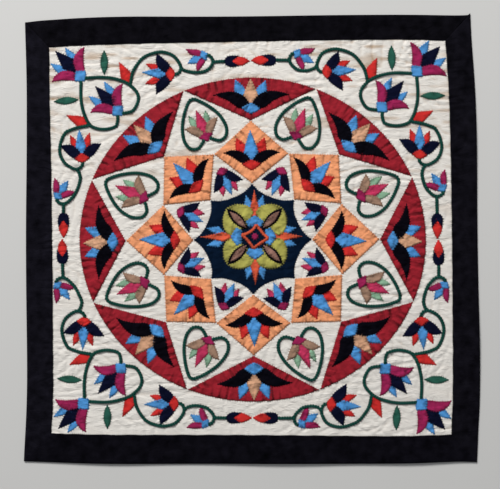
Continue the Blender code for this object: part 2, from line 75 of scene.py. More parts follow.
# border section: distance in from the fold, height of the outside face, height of the inside face
FLAP = ((52, 3.0, 1.9), (40, 3.0, 1.9), (27, 3.7, 2.6), (14, 4.4, 3.3), (4.4, 4.4, 3.3))
FOLD = ((1.3, 3.8), (0.0, 2.2), (1.3, 0.6))
FOLD_INSIDE = (2.6, 2.2)
HEM = ((4.4, 0.0, 1.1), (14, 0.0, 1.1))
BORDER_WIDTH = 52

# border mesh: stations along a side and at its ends, the rounded sewn edge, and the places across the flap
STATIONS = (0.004, 0.996, 392)
END_STATIONS = (0, 0.0008, 0.0022)
SEWN_EDGE = [(52, 2.1), (51.6, 2.55), (50.8, 2.9)]
ACROSS_FLAP = (49.4, 4.4, 18)
# its sewn edge: how far it juts at a stitch, how far and how slowly it wanders, and how far out that shows
JAG = (0.42, 0.3, 9.7)
JAG_REACH = 1.5
# how far in from the fold the sewn edge begins, how far in the inside lies over the ground, and how wide the
# painted highlight along the fold is
SEWN_FROM = 45
OVER_GROUND = 30
FOLD_HIGHLIGHT_WIDTH = 2
# its puckers along the seam: height, reach, pitch, then how much and how slowly they shift
SEAM_PUCKER = (0.26, 8, 7.3, 2, 31)
# its mitres: drop at the seam, swelling beside it, each with its reach, and the lap of the two strips
MITRE_DROP = (0.75, 1.3)
MITRE_SWELL = (0.25, 6)
MITRE_LAP = 0.3

# where the border's free edge stands off the surface: place along the side, spread, lift
LIFTS = {
    "top": ((0.24, 0.09, 2.2), (0.66, 0.12, 1.6)),
    "right": ((0.30, 0.10, 1.8), (0.74, 0.08, 2.6)),
    "bottom": ((0.14, 0.10, 2.4), (0.42, 0.14, 3.2), (0.80, 0.10, 2.0)),
    "left": ((0.36, 0.12, 1.6), (0.78, 0.09, 2.2)),
}
# how far in from the fold the lift is gone, and the share of a side over which it grows from the corner
LIFT_REACH = 80
CORNER_FADE = 0.06

# the field inside the border, as planned before it was cut and sewn by hand
FIELD_X = 400
FIELD_Y = 394

# the medallion: centre, half width and half height, and its construction radii as parts of those
CENTRE = (1.4, -2.7)
HALF_WIDTH = 347
HALF_HEIGHT = 325
NOTCH = 0.734
SHOULDER = 0.572
POINT = 0.345
VALLEY = 0.285
HOLLOW = ((7, 0.306), (15, 0.288))
# hand-laid unevenness inside the medallion: the radii between which it fades, then distance to the side or
# height, and how far pieces there moved
WITHIN = (0.8, 1.0)
SQUEEZED = ((0, 60, 120, 180, 230, 260), (0, 1, 1, 5, 3, 0))
RAISED = ((-330, -300, -240, -170, -110, -60, 0), (0, 4, 6, 4.5, 2, 0.5, 0))
ROSETTE_SHIFT = (4.4, 6.0)

# where the base of each motif lies, how far the patches are drawn in, and how many of each there are
RING_BASE = 0.775
QUAD_BASE = 0.427
INNER_BASE = 0.482
HEART_BASE = 0.66
DRAWN_IN = 0.5
AROUND = 8
SECTOR = 360 / AROUND
# how far the flowers of the ring were turned when they were laid down, in degrees
RING_TURN = (0, 5, 0, -6, 0, 2, 0, -2)

# half of each lotus, across its axis and forward from its base: half width, sides and top of the calyx,
# tip, back and front of a curved petal, half width, sides and tip of the middle one, corners of a small one
LOTUS = {
    "ring": ((19, 11, 22), (77, 38.5), ((14.5, 36), (35, 45), (57, 43.5)),
             ((60, 33), (43, 24.5), (29, 13.5)), (15, 36, 70),
             ((29.5, 67.5), (11.5, 51), (11, 37), (31.5, 42.5))),
    "quad": ((19, 12.5, 21.5), (58, 34), ((13, 33), (31, 39.5), (45, 39)), ((43, 28), (31, 20.5)),
             (15, 36, 81), ((28, 65), (11, 51), (14, 38), (31, 41.5))),
    "inner": ((12.5, 9, 17), (32, 40), ((8, 32), (19, 38.5)), ((25, 27), (18.5, 17)),
              (9.5, 34, 61), ((15.5, 56), (7, 45), (8, 33), (19, 39))),
    "heart": ((15, 12, 18.5), (37, 38), ((11, 33), (22, 39)), ((27, 25), (19, 17)),
              (11.5, 34, 68), ((19, 61), (8, 46), (9, 33), (22, 42))),
    "corner": ((14.7, 14.3, 27.5), (47.5, 49), ((6.6, 37), (15, 47.5), (26.5, 52.3), (38, 52.7)),
               ((37, 41), (26, 30), (19, 21)), (13.8, 47.5, 85.5),
               ((22, 77), (11, 60), (11.4, 43), (26, 52))),
    "curl": ((14.5, 9.5, 20), (41, 38), ((8, 29), (21, 38.5)), ((30.5, 23), (20, 12.5)),
             (10.5, 33, 69), ((20, 59), (7.5, 46), (8, 31), (20, 38))),
    "tendril": ((10.5, 8.5, 16), (26.5, 35), ((5.5, 22), (13.5, 32)), ((21, 23), (14, 12)),
                (8.5, 26, 45), None),
}
# how far the sides of a calyx bulge, and how far petals are turned, in degrees, and grown by hand
CALYX_BULGES = (1.6, 0.8, 0.8, 1.6)
PETAL_TURN = 1.6
PETAL_GROWTH = 0.025

# steps of a smooth curve between two of its points
CURVE = 8

# half of the heart-shaped vine, from where it meets its flower's base to its tip
HEART = ((-3, 8), (-12, 0), (-24, -7), (-38, -2), (-45, 16), (-40, 42), (-26, 66), (-9, 85), (0, 89))

# the spray from one corner: distance along the side, distance in from it
SPRAY_HEART = (
    (66, 62), (106, 61), (136, 66), (160, 77), (175, 96), (177, 113), (167, 129), (150, 134), (138, 132),
)
CURL = (
    (162, 77), (168, 52), (186, 31), (206, 21), (228, 18),
    (250, 26), (263, 44), (263, 56), (256, 63), (246, 63),
)
TENDRIL = ((263, 50), (272, 56), (290, 60), (311, 58), (324, 49), (329, 38), (325, 28), (316, 23))
STEM_START = (327, 39)
STEM_END = (0, 3)
RED_LEAF = ((140, 31), (153, 42), (165, 55), (162, 78), (144, 67))
CURL_FLOWER = ((253, 63), (184, 59))
TENDRIL_FLOWER = ((319, 22), (279, 40))
OUTER_FLOWER = ((71.5, 67), (12, 6))
INNER_FLOWER = ((144, 139), (91, 78))
INNER_SCALE = 0.95

# from where to where along a side each part of a run takes on its own length or place
CURL_RUN = (165, 185)
TENDRIL_RUN = (250, 320)
BUD_RUN = (280, 320)
# how much further in from the border the start of each run lies than it was planned
LEVEL_IN = 5
UPRIGHT_IN = 1.5

# the bud at the end of each run, half of it for the petal and the cup, and the room kept at its tip
PLANNED_IN = 38
BUD_LENGTH = 53
BUD_ROOM = 0.8
BUD_PETAL = ((6, 20), (9.5, 33), (6, 44), (0, BUD_LENGTH))
BUD_ROOT = (0, 12)
CUP = ((0, 0), (8, 5), (11.5, 14), (10.5, 31))
CUP_NOTCH = (0, 16)

# the green leaf of each run: its two ends, width and steps, and where it lies
LEAF = (-25, 25, 16, 9)
LEAF_PLACE = (110.5, 31)

# each spray: signs of its corner, then for its level and its upright run the length of the curl and of the
# tendril as shares of the plan, how far in from the border the bud lies, and where on the side it points
RUNS = (
    ((-1, 1), (1.0, 1.0, 39, 4.7), (0.94, 0.973, 23, 3.5)),
    ((1, 1), (1.0, 0.963, 38, 4.7), (0.94, 0.945, 29, -3)),
    ((1, -1), (1.0, 0.96, 34, 0.6), (0.94, 0.96, 27, -3)),
    ((-1, -1), (1.0, 0.985, 34, 0.6), (0.94, 0.966, 20, 3.5)),
)

# rosette: direction of each arm, then how far out its pad, its spike's root and its spike's tip are
ARMS = ((0, 31, 39, 96), (90, 30, 39, 94), (180, 37, 46, 111), (270, 34, 43, 99))
PAD = ((-13, -10), (13, -10), (18, 0), (8, 8), (0, 12), (-8, 8), (-18, 0))
# spike and the small petal beside it: across, share of the way from root to tip
SPIKE = ((3, -0.06), (9.5, 0.30), (3.5, 0.70), (0, 1), (-3.5, 0.70), (-9.5, 0.30), (-3, -0.06))
SPIKE_PETAL = ((3, 0.12), (11, 0.28), (21, 0.42), (17.5, 0.80), (4, 0.5))
# lens and its seed: the two ends, width and steps
LENS = (20, 80, 21, 10)
LENS_SEED = (24, 71, 13, 10)
OLIVE_OUTSIDE = ((0, 80), (15, 75), (29, 62), (35, 48), (32, 36))
OLIVE_INSIDE = ((15, 29), (9, 44), (8, 62), (0, 80))
# diamond: half width and half height, turn, width of the bars on its edges, their sags, and size of the dot
DIAMOND = (27, 24)
DIAMOND_TURN = 82
DIAMOND_BAR = 5.6
DIAMOND_SAGS = (-1.2, -4.6, -1.6, -0.6)
DOT = 6.6

# the colour of each cloth and thread, as red, green and blue from 0 to 255
COLOURS = {
    "cream": (225, 221, 215),
    # the four sides of the border are one black cloth in lit and shaded copies: painted light makes the left
    # side lightest and the top darkest
    "border_left": (18, 17, 24),
    "border_top": (12, 11, 16),
    "border_right": (15, 14, 20),
    "border_bottom": (12, 11, 17),
    "crimson": (151, 30, 43),
    "orange": (238, 158, 112),
    "star": (8, 22, 41),
    "black": (9, 8, 15),
    "navy": (12, 15, 36),
    "blue": (78, 146, 210),
    "red": (202, 44, 42),
    "magenta": (152, 32, 82),
    "rose": (188, 52, 91),
    "tan": (207, 159, 127),
    "sand": (158, 126, 106),
    "mint": (135, 173, 145),
    "olive": (170, 166, 84),
    "brown": (146, 108, 96),
    "vermilion": (210, 88, 60),
    "vine": (19, 57, 50),
    "leaf": (37, 89, 75),
}

# petals of each lotus: the two curved ones, the calyx, the middle one and the small ones between
PAINT = {
    "ring": ("black", "blue", "tan", "blue"),
    "quad": ("black", "red", "blue", "red"),
    "inner": ("navy", "magenta", "blue", "rose"),
    "heart": ("sand", "magenta", "rose", "mint"),
    "corner": ("magenta", "blue", "navy", "blue"),
    "curl": ("navy", "red", "blue", "red"),
    "tendril": ("magenta", "blue", "blue", None),
}

# how each kind of patch lies: thickness, puff, height, reach and pitch of its puckers, its creases,
# how far its edge scallops, how much painted light its folds take (painted shade on a light cloth, a painted
# highlight on a dark one), and the step of its mesh
LIE = {
    "segment": (0.8, 0.6, 2.60, 22, 17, 0.95, 0.58, 2.0, 2.1),
    "quad": (0.8, 0.5, 2.10, 12, 7.8, 1.20, 0.62, 1.9, 1.9),
    "star": (0.8, 0.4, 0.90, 9, 10, 0.60, 0.62, 0.4, 2.3),
    "petal": (0.7, 0.6, 0.80, 5, 6.6, 0.95, 0.66, 2.0, 1.75),
    "calyx": (0.8, 1.0, 0.90, 6, 6.0, 0.80, 0.62, 2.0, 1.7),
    "lobe": (0.7, 0.8, 1.30, 9, 6.8, 1.00, 0.75, 2.4, 1.8),
    "seed": (0.7, 0.5, 1.10, 6, 5.0, 0.30, 0.25, 2.4, 1.5),
    "bar": (0.8, 0.7, 0.14, 3, 7.0, 0.10, 0.20, 0.6, 1.6),
}
# how narrow the folds between puckers are, how deep, and how high they leave the cloth beside them
SHARP = 1.5
DEEP = 1.7
BESIDE = 0.38
# slow waves that shift, deepen and lengthen the puckers along an edge: strength, length, turn with the seed
SLOW_WAVES = ((1.9, 21, 3), (0.38, 17, 7), (0.45, 9, 11))
# the share of its thickness that a patch has at its very edge
AT_EDGE = 0.25
# how far in from its edge a patch has puffed up, and its creases have set in
PUFF_REACH = 4
CREASE_REACH = 3

# hand-sewn edges: stitch, gap that makes two points one, turn that makes a corner, and how they wander
STITCH = 5.0
SAME_PLACE = 0.2
CORNER_TURN = 26
HAND = ((0.22, 0.9, 5), (0.14, 2.3, 9))
# a length that is added to every step, so that one of no length doesn't divide by zero
SPARE = 1e-9

# patches: turned edge, least thickness in the folds, and room between mesh points and the edge in steps
ROLL = 1.2
LEAST = 0.30
ROOM = 0.4
# undersides: mesh step, and how far they reach into the cloth below, at the edge and inside it
FLOOR_STEP = 9
LET_IN = (0.05, 0.25)
# how much painted light an edge takes at a stitch and between two (painted shade on a light cloth, a painted
# highlight on a dark one), and how far in from it that fades
NOTCH_PAINTED_LIGHT = (1.0, 0.4)
HEM_FADE = 1.2
# how far the ground is sunk under a patch, where that begins and ends, and where the patch hides it
SUNK = 0.35
SUNK_FROM = (0.5, 2.0)
HIDDEN_FROM = 4

# stitches: half width, height of root and tip over their cloths, of the top over both, crest, sides, base
HEM_THREAD = (0.55, -0.05, -0.05, 0.08, 0.14, -0.2, -0.6)
SEAM_THREAD = (0.4, 0.35, -0.05, 0.35, 0.1, -0.3, -0.8)
# how far a stitch reaches out and along the edge, along a hem as a share of that, and the share at its root
HEM_BITE = (1.75, 0.35, 0.9)
SEAM_BITE = (1.5, 0.7, 0.8)
# how far in from a hem its height is read, how much painted light its stitches take (painted shade on a
# light cloth, a painted highlight on a dark one), and how wide a tip has to be for one
HEM_IN = 0.8
STITCH_SHADE = 0.7
TIP_WIDTH = 4.0
# triangles of a stitch, whose points are root, side, tip, side, crest and base
STITCH_FACES = ((4, 1, 0), (4, 2, 1), (4, 3, 2), (4, 0, 3), (5, 0, 1), (5, 1, 2), (5, 2, 3), (5, 3, 0))

# the ground beside a patch: height, pitch, reach and shift of its puckers, and the groove along the edge
RIPPLE = 0.40
RIPPLE_PITCH = 8.3
RIPPLE_REACH = 6.5
RIPPLE_SHIFT = (2.2, 19, 5)
GROOVE = (0.34, 3.0)
# the ground under a patch: how low it may lie at the edge, how much that rises and over what distance
BRIDGE = (1.0, 0.8, 3)
# the ground under a cord: step along it, reach, depth, and the square of the width
DENT = (2.5, 9, 0.36, 14)

# the twisted cord: half width and height of a strand, how far it swings, height of its middle in strands,
# one turn, step and sides of its mesh, and how strong the painted highlight on the top of a bead is
STRAND = (2.0, 1.3)
SWING = (2.0, 0.7)
SEATED = 0.8
TURN = 10.2
CORD_STEP = 1.5
CORD_SIDES = 6
BEAD_HIGHLIGHT = 5.5
# the height that its ends keep, how far from there it rises, and how many steps tuck in under a calyx
CORD_END = (0.2, 4)
TUCKED_STEPS = 2

# ground: how far in from the fold its edge lies, and the points on each side of that edge
TUCKED = 34
RIM_POINTS = 330
# its mesh: what is close to an edge or a cord, and the steps there, elsewhere, where hidden and below
NEAR = 6
NEAR_STEP = 2.25
OPEN_STEP = 3.0
COVERED_STEP = 10
UNDER_STEP = 24
# how far its underside is raised over the hem, and from where to where in from the fold
RAISED_HEM = 0.7
RAISED_TO = (27, 40)

# creases of the ground: slant in degrees, pitch, height, size of the patches that they come in, and seed
CREASES = ((0, 15, 1.25, 66, 12), (27, 19, 0.98, 50, 41), (-36, 17, 0.92, 46, 51), (78, 20, 0.80, 56, 61))
CREASE_SHARP = 3.0
BORDER_PUCKER = (0.55, 11, 12)
# layers of unevenness: height, size of the bumps across and up, and seed
SWELLS = ((0.5, 150, 50, 11), (0.30, 30, 17, 14), (0.16, 8, 6, 15))
CRUMPLE = ((0.6, 11, 9, 41), (0.4, 5.5, 5, 42))
BORDER_SWELLS = ((0.30, 90, 90, 21), (0.16, 24, 24, 22), (0.05, 7, 7, 23))
# how strong the painted shade in the ground's dips is, in the same layers
DIP_SHADE_NOISE = ((0.5, 110, 60, 31),)
# brown blotches on the ground, in the same layers
BROWN_BLOTCHES = ((1.5, 40, 8, 33), (0.7, 120, 36, 34))

# dark and other cloths: specular, sheen, what patches and slubs add to the tone, what painted light at
# edges, folds, stitches and beads adds (painted highlights on dark cloths, painted shade on others), what
# comes off it
DARK = (0.015, 0, 1.0, 0.5, 0.25, 0.25)
LIGHT = (0.12, 0.02, 0.6, 0.3, -0.46, 0.15)
DARKEST = 0.06
ROUGH = 0.88
SOFT_SHEEN = 0.55
WEAVE_TONE = 0.10
SLUB_HEIGHT = 0.6
# cloths that are more or less patchy than those
PATCHY = {"cream": 0.22, "border": 2.6}
# threads of the weave, slubs, patches and crinkles, as inputs of their textures
THREADS = {"Scale": 430, "Distortion": 1.4, "Detail": 1, "Detail Scale": 0.4}
SLUBS = {"Scale": 950, "Detail": 2}
PATCHES = {"Scale": 55, "Detail": 4}
CRINKLES = {"Scale": 1, "Detail": 3, "Distortion": 0.8}
CRINKLE_STRETCH = (52, 150, 1)
# height of the crinkles and of their folds, in the cream ground and in any other cloth
CREAM_RELIEF = (8.0, 15.0)
CLOTH_RELIEF = (4.5, 8.0)
BUMP = {"Strength": 0.5, "Distance": 0.0004}
# the brown of the painted shade in the ground's dips and of its brown blotches
DIP_SHADE_AND_BLOTCH_TINT = (176, 150, 124)

# floor, camera, lamp and the light all round
FLOOR_SIZE = 4
FLOOR_COLOUR = (200, 200, 199)
EYE = (-0.0037, -0.0118, 1.3889)
LAMP = {"shape": "RECTANGLE", "size": 2.4, "size_y": 1.6, "energy": 435, "color": (1.0, 0.985, 0.96)}
LAMP_PLACE = (-1.70, 3.58, 3.0)
LAMP_TURN = (radians(-97), 0, radians(35))
SURROUND = {"Color": (0.95, 0.97, 1.0, 1), "Strength": 0.25}

# mesh grids: height of a row and how far a point strays, in steps, and how many distances are found at once
ROW = 0.866
STRAY = 0.16
AT_ONCE = 300000

# height maps over the panel
CELL = 1.25
REACH = 480
AXIS = np.arange(-REACH, REACH + CELL, CELL)
X, Y = np.meshgrid(AXIS, AXIS)


def catmull(points, steps):
    """A smooth curve through the points, with this many steps between each pair."""
    p = np.asarray(points, float)
    q = np.vstack((2 * p[0] - p[1], p, 2 * p[-1] - p[-2]))
    t = np.linspace(0, 1, steps, endpoint=False)[:, None]
    out = []
    for a, b, c, d in zip(q[:-3], q[1:-2], q[2:-1], q[3:]):
        bend = (2 * a - 5 * b + 4 * c - d) * t**2
        swing = (3 * b - a - 3 * c + d) * t**3
        out.append(0.5 * (2 * b + (c - a) * t + bend + swing))
    return np.vstack((*out, p[-1:]))


def ramp(value, span):
    """0 before the span, 1 after it, and even between."""
    return np.clip((value - span[0]) / (span[1] - span[0]), 0, 1)


def bow(a, b, sag, steps):
    """Points from a up to, but without, b along a shallow arc that bulges to the right."""
    a = np.array(a, float)
    b = np.array(b, float)
    along = b - a
    right = np.array((along[1], -along[0])) / np.hypot(*along)
    t = np.linspace(0, 1, steps, endpoint=False)[:, None]
    return a + along * t + right * sag * 4 * t * (1 - t)


def flipped(points):
    """The mirror image across the axis, walked the other way round."""
    return np.asarray(points, float)[::-1] * (-1, 1)


def bowed(corners, bulges, steps):
    """A closed outline of shallow arcs from corner to corner."""
    ends = zip(corners, np.roll(corners, -1, axis=0), bulges)
    return np.vstack([bow(a, b, bulge, steps) for a, b, bulge in ends])


def leaf_shape(low, high, width, steps):
    """A leaf pointed at both ends."""
    return bowed(((0, low), (0, high)), (width / 2, width / 2), steps)


def scatter(*seed):
    """A repeatable small number from -1 to 1, for the unevenness of handwork."""
    v = sum(s * k for s, k in zip(seed, (12.9898, 78.233)))
    swirl = sin(v) * 43758.5453
    return 2 * (swirl - floor(swirl)) - 1


def edge_curve(side, inner):
    """One edge of the border from corner to corner: the fold, or the sewn inner edge."""
    first, last, outside, inside = SIDES[side]
    middle = inside if inner else outside
    which = 1 if inner else 0
    return catmull((CORNERS[first][which], *middle, CORNERS[last][which]), CURVE)


INNER_EDGE = {side: edge_curve(side, True) for side in SIDES}


def edge_at(side, curve, along):
    """How far across the panel a side's edge lies at places along it, and the share of its length there."""
    place, value = curve.T if side in ("top", "bottom") else curve.T[::-1]
    order = np.argsort(place)
    length = lengths(curve)
    return [np.interp(along, place[order], of[order]) for of in (value, length / length[-1])]


def offset_at(side, along):
    """How far the sewn inner edge of a side has strayed from its planned place."""
    plan = FIELD_Y if side in ("top", "bottom") else FIELD_X
    if side in ("bottom", "left"):
        plan = -plan
    return edge_at(side, INNER_EDGE[side], along)[0] - plan


def by_hand(points):
    """From the planned pattern to where the pieces really lie, following the uneven border."""
    p = np.asarray(points, float)
    x = p[..., 0]
    y = p[..., 1]
    across = ramp(x, (-FIELD_X, FIELD_X))
    up = ramp(y, (-FIELD_Y, FIELD_Y))
    shift_x = offset_at("left", y) * (1 - across) + offset_at("right", y) * across
    shift_y = offset_at("bottom", x) * (1 - up) + offset_at("top", x) * up
    radius = np.hypot((x - CENTRE[0]) / HALF_WIDTH, (y - CENTRE[1]) / HALF_HEIGHT)
    within = 1 - ramp(radius, WITHIN)
    shift_x = shift_x - np.sign(x) * np.interp(np.abs(x), *SQUEEZED) * within
    shift_y = shift_y + np.interp(y, *RAISED) * within
    return np.stack((x + shift_x, y + shift_y), axis=-1)


def polar(radius, angle):
    """A place in the medallion, the radius as a part of its half width and half height."""
    a = radians(angle)
    return np.array(CENTRE) + radius * np.array((HALF_WIDTH * cos(a), HALF_HEIGHT * sin(a)))


def put(points, base, heading):
    """From across and forward of a motif's own axis to a place on the panel."""
    p = np.asarray(points, float)
    forward = np.array((cos(radians(heading)), sin(radians(heading))))
    right = np.array((forward[1], -forward[0]))
    return np.asarray(base) + p[:, :1] * right + p[:, 1:] * forward


def heading_of(a, b):
    """Direction from a to b in degrees."""
    return degrees(atan2(b[1] - a[1], b[0] - a[0]))


def on_run(points, corner, run, upright):
    """From distance along and distance in to the panel, for one run of a spray."""
    near, far, bud_in, _ = run
    p = np.array(points, float)
    along = p[:, 0]
    share = 1 + (near - 1) * ramp(along, CURL_RUN) + (far - near) * ramp(along, TENDRIL_RUN)
    shift = (bud_in - PLANNED_IN) * ramp(along, BUD_RUN)
    shift = shift + (UPRIGHT_IN if upright else LEVEL_IN) * (1 - ramp(along, CURL_RUN))
    p = np.column_stack((along * share, p[:, 1] + shift))
    if upright:
        p = p[:, ::-1]
    return np.column_stack((corner[0] * (FIELD_X - p[:, 0]), corner[1] * (FIELD_Y - p[:, 1])))


def bud_base(corner, run, upright):
    """Where the bud of a run starts, so that its tip reaches the meeting point."""
    _, _, bud_in, meeting = run
    back = BUD_LENGTH + BUD_ROOM
    if upright:
        return np.array((corner[0] * (FIELD_X - bud_in), meeting + corner[1] * back))
    return np.array((meeting + corner[0] * back, corner[1] * (FIELD_Y - bud_in)))


def lengths(path):
    """How far along a path each of its points lies."""
    return np.concatenate(([0], np.cumsum(np.linalg.norm(np.diff(path, axis=0), axis=1))))


def places(path, at):
    """Points at these distances along a path."""
    length = lengths(path)
    return np.column_stack([np.interp(at, length, values) for values in path.T])


def even_stations(curve, shares):
    """Points on a curve at these shares of its length."""
    return places(curve, np.asarray(shares) * lengths(curve)[-1])


def even(path, step):
    """An open path with points this far apart."""
    span = lengths(path)[-1]
    return places(path, np.linspace(0, span, max(2, round(span / step) + 1)))


def unit(vectors, spare=0.0):
    """The same directions with length 1; the spare length is for where a step may have no length."""
    return vectors / (np.linalg.norm(vectors, axis=1)[:, None] + spare)


def right_of(along):
    """The directions a quarter turn to the right of these."""
    return np.column_stack((along[:, 1], -along[:, 0]))


def steps_at(loop):
    """The step to each point of a loop, and the step from it."""
    return loop - np.roll(loop, 1, axis=0), np.roll(loop, -1, axis=0) - loop


def drawn_in(loop, distance):
    """An outline moved inward all round by a distance."""
    before, after = (-right_of(unit(step)) for step in steps_at(loop))
    middle = (before + after) / (1 + np.sum(before * after, axis=1))[:, None]
    return loop + middle * distance


def linear(colour):
    """A colour from 0 to 255 as the light values that a shader takes."""
    c = np.array(colour) / 255
    return tuple(float(v) for v in np.where(c < 0.04045, c / 12.92, ((c + 0.055) / 1.055) ** 2.4))


def noise(cell_x, cell_y, seed):
    """A smooth random map from -1 to 1, with bumps of about this size."""
    rng = np.random.default_rng(seed)
    u = (AXIS + REACH) / cell_x
    v = (AXIS + REACH) / cell_y
    lattice = rng.uniform(-1, 1, (int(v[-1]) + 3, int(u[-1]) + 3))
    i = u.astype(int)
    j = v.astype(int)
    a = (u - i) ** 2 * (3 - 2 * (u - i))
    b = ((v - j) ** 2 * (3 - 2 * (v - j)))[:, None]
    across = lattice[:, i] * (1 - a) + lattice[:, i + 1] * a
    return across[j] * (1 - b) + across[j + 1] * b


def layered(layers, start=0):
    """Several random maps added up."""
    return sum((height * noise(*form) for height, *form in layers), start)


def sample(raster, points):
    """The map's value at each point, read between its cells."""
    u = (points[:, 0] + REACH) / CELL
    v = (points[:, 1] + REACH) / CELL
    i = np.clip(u.astype(int), 0, len(AXIS) - 2)
    j = np.clip(v.astype(int), 0, len(AXIS) - 2)
    a = u - i
    b = v - j
    low = raster[j, i] * (1 - a) + raster[j, i + 1] * a
    high = raster[j + 1, i] * (1 - a) + raster[j + 1, i + 1] * a
    return low * (1 - b) + high * b


def window(loop, margin):
    """The part of the map that holds a loop with room around it, and the places of its cells."""
    low = np.floor((loop.min(axis=0) - margin + REACH) / CELL).astype(int)
    high = np.ceil((loop.max(axis=0) + margin + REACH) / CELL).astype(int)
    part = slice(low[1], high[1] + 1), slice(low[0], high[0] + 1)
    return part, np.column_stack((X[part].ravel(), Y[part].ravel()))


def from_edge(points, loop):
    """For each point: distance to the loop, how far along it the nearest place is, and if it is inside."""
    a = loop
    b = np.roll(loop, -1, axis=0)
    step = b - a
    length = np.linalg.norm(step, axis=1)
    start = np.concatenate(([0], np.cumsum(length)[:-1]))
    rise = np.where(step[:, 1] == 0, 1, step[:, 1])
    found = []
    for part in np.array_split(points, 1 + len(points) * len(loop) // AT_ONCE):
        x = part[:, :1]
        y = part[:, 1:]
        rx = x - a[:, 0]
        ry = y - a[:, 1]
        t = np.clip((rx * step[:, 0] + ry * step[:, 1]) / length**2, 0, 1)
        d = (rx - t * step[:, 0]) ** 2 + (ry - t * step[:, 1]) ** 2
        k = d.argmin(axis=1)
        rows = np.arange(len(part))
        spans = (a[:, 1] > y) != (b[:, 1] > y)
        crossings = (spans & (a[:, 0] + ry * step[:, 0] / rise > x)).sum(axis=1)
        found.append((np.sqrt(d[rows, k]), start[k] + t[rows, k] * length[k], crossings % 2 == 1))
    return [np.concatenate(values) for values in zip(*found)]


def stitched_edge(outline, scallop, seed):
    """A hand-sewn outline: corners kept, points half a stitch apart, drawn in at every stitch."""
    loop = np.asarray(outline, float)
    if area_of(loop) < 0:
        loop = loop[::-1]
    loop = loop[np.linalg.norm(steps_at(loop)[0], axis=1) > SAME_PLACE]
    before, after = steps_at(loop)
    turn = np.arctan2(before[:, 0] * after[:, 1] - before[:, 1] * after[:, 0], (before * after).sum(axis=1))
    corners = np.flatnonzero(np.abs(turn) > radians(CORNER_TURN))
    if len(corners) == 0:
        corners = np.array([0])
    points = []
    for first, last in zip(corners, [*corners[1:], corners[0] + len(loop)]):
        run = loop[np.arange(first, last + 1) % len(loop)]
        span = lengths(run)[-1]
        run = even(run, span / max(1, 2 * round(span / STITCH)))
        outward = right_of(unit(np.gradient(run, axis=0), SPARE))
        count = np.arange(len(run))
        hand = sum(far * np.sin(count * pace + shift * seed) for far, pace, shift in HAND)
        push = hand + scallop * np.where(count % 2 == 1, 1, -1)
        push[[0, -1]] = 0
        points.append((run + outward * push[:, None])[:-1])
    return np.vstack(points)


def area_of(loop):
    """Signed area inside a loop."""
    x, y = loop[:, 0], loop[:, 1]
    return 0.5 * (np.dot(x, np.roll(y, -1)) - np.dot(y, np.roll(x, -1)))


def hex_grid(low, high, step, seed):
    """Points a step apart over a box, each a little off its place."""
    rng = np.random.default_rng(seed)
    rows = np.arange(low[1], high[1], step * ROW)
    columns = np.arange(low[0], high[0], step)
    x, y = np.meshgrid(columns, rows)
    x = x + (np.arange(len(rows))[:, None] % 2) * step / 2
    grid = np.column_stack((x.ravel(), y.ravel()))
    return grid + rng.uniform(-STRAY, STRAY, grid.shape) * step


def triangles(loop, inner):
    """Triangles of the area inside a loop, through the inner points, numbered after the loop's."""
    points = [tuple(p) for p in np.vstack((loop, inner))]
    count = len(loop)
    edges = [(i, (i + 1) % count) for i in range(count)]
    _, _, faces, origin, _, _ = delaunay_2d_cdt(points, edges, [], 1, 1e-6)
    source = np.array([o[0] if o else -1 for o in origin])
    tris = source[np.array(faces)]
    return tris[(tris >= 0).all(axis=1)]


def halves(a, b, c, d):
    """The two triangles of each four-sided face, from its corners in order."""
    return np.vstack([np.stack(corners, axis=-1).reshape(-1, 3) for corners in ((a, b, c), (a, c, d))])


def tube(count, ring):
    """Corners of the four-sided faces of a tube that is made of rings of points."""
    start = np.arange(count - 1)[:, None] * ring
    here = start + np.arange(ring)
    beside = start + (np.arange(ring) + 1) % ring
    return here, beside, beside + ring, here + ring


def grid_within(loop, step):
    """Points a step apart inside a loop, clear of its edge."""
    grid = hex_grid(loop.min(axis=0), loop.max(axis=0), step, 2)
    d, _, inside = from_edge(grid, loop)
    return grid[inside & (d > ROOM * step)]


def own_height(kind, points, d, s, seed):
    """Height of a patch over what it lies on, and how deep in a fold each place is.

    It follows from the distance to the patch's edge and the place along the edge.
    """
    thick, puff, height, reach, pitch, creased = LIE[kind][:6]
    roll = np.sqrt(1 - (1 - np.clip(d / ROLL, 0, 1)) ** 2)
    shift, depth, spread = (far * np.sin(s / length + turn * seed) for far, length, turn in SLOW_WAVES)
    phase = 2 * pi * s / pitch + shift
    uneven = (1 - SLOW_WAVES[1][0] + depth) * np.exp(-d / (reach * (1 + spread)))
    fold = uneven * np.exp(SHARP * (np.cos(phase) - 1))
    pucker = DEEP * height * (BESIDE * uneven - fold)
    crease = creased * sample(crumple, points) * (1 - np.exp(-d / CREASE_REACH))
    rise = (puff * (1 - np.exp(-d / PUFF_REACH)) + pucker) * roll
    return thick * (AT_EDGE + (1 - AT_EDGE) * roll) + rise + crease, fold


def put_in_scene(name, data):
    """A new object that holds this mesh, camera or lamp."""
    body = bpy.data.objects.new(name, data)
    bpy.context.scene.collection.objects.link(body)
    return body


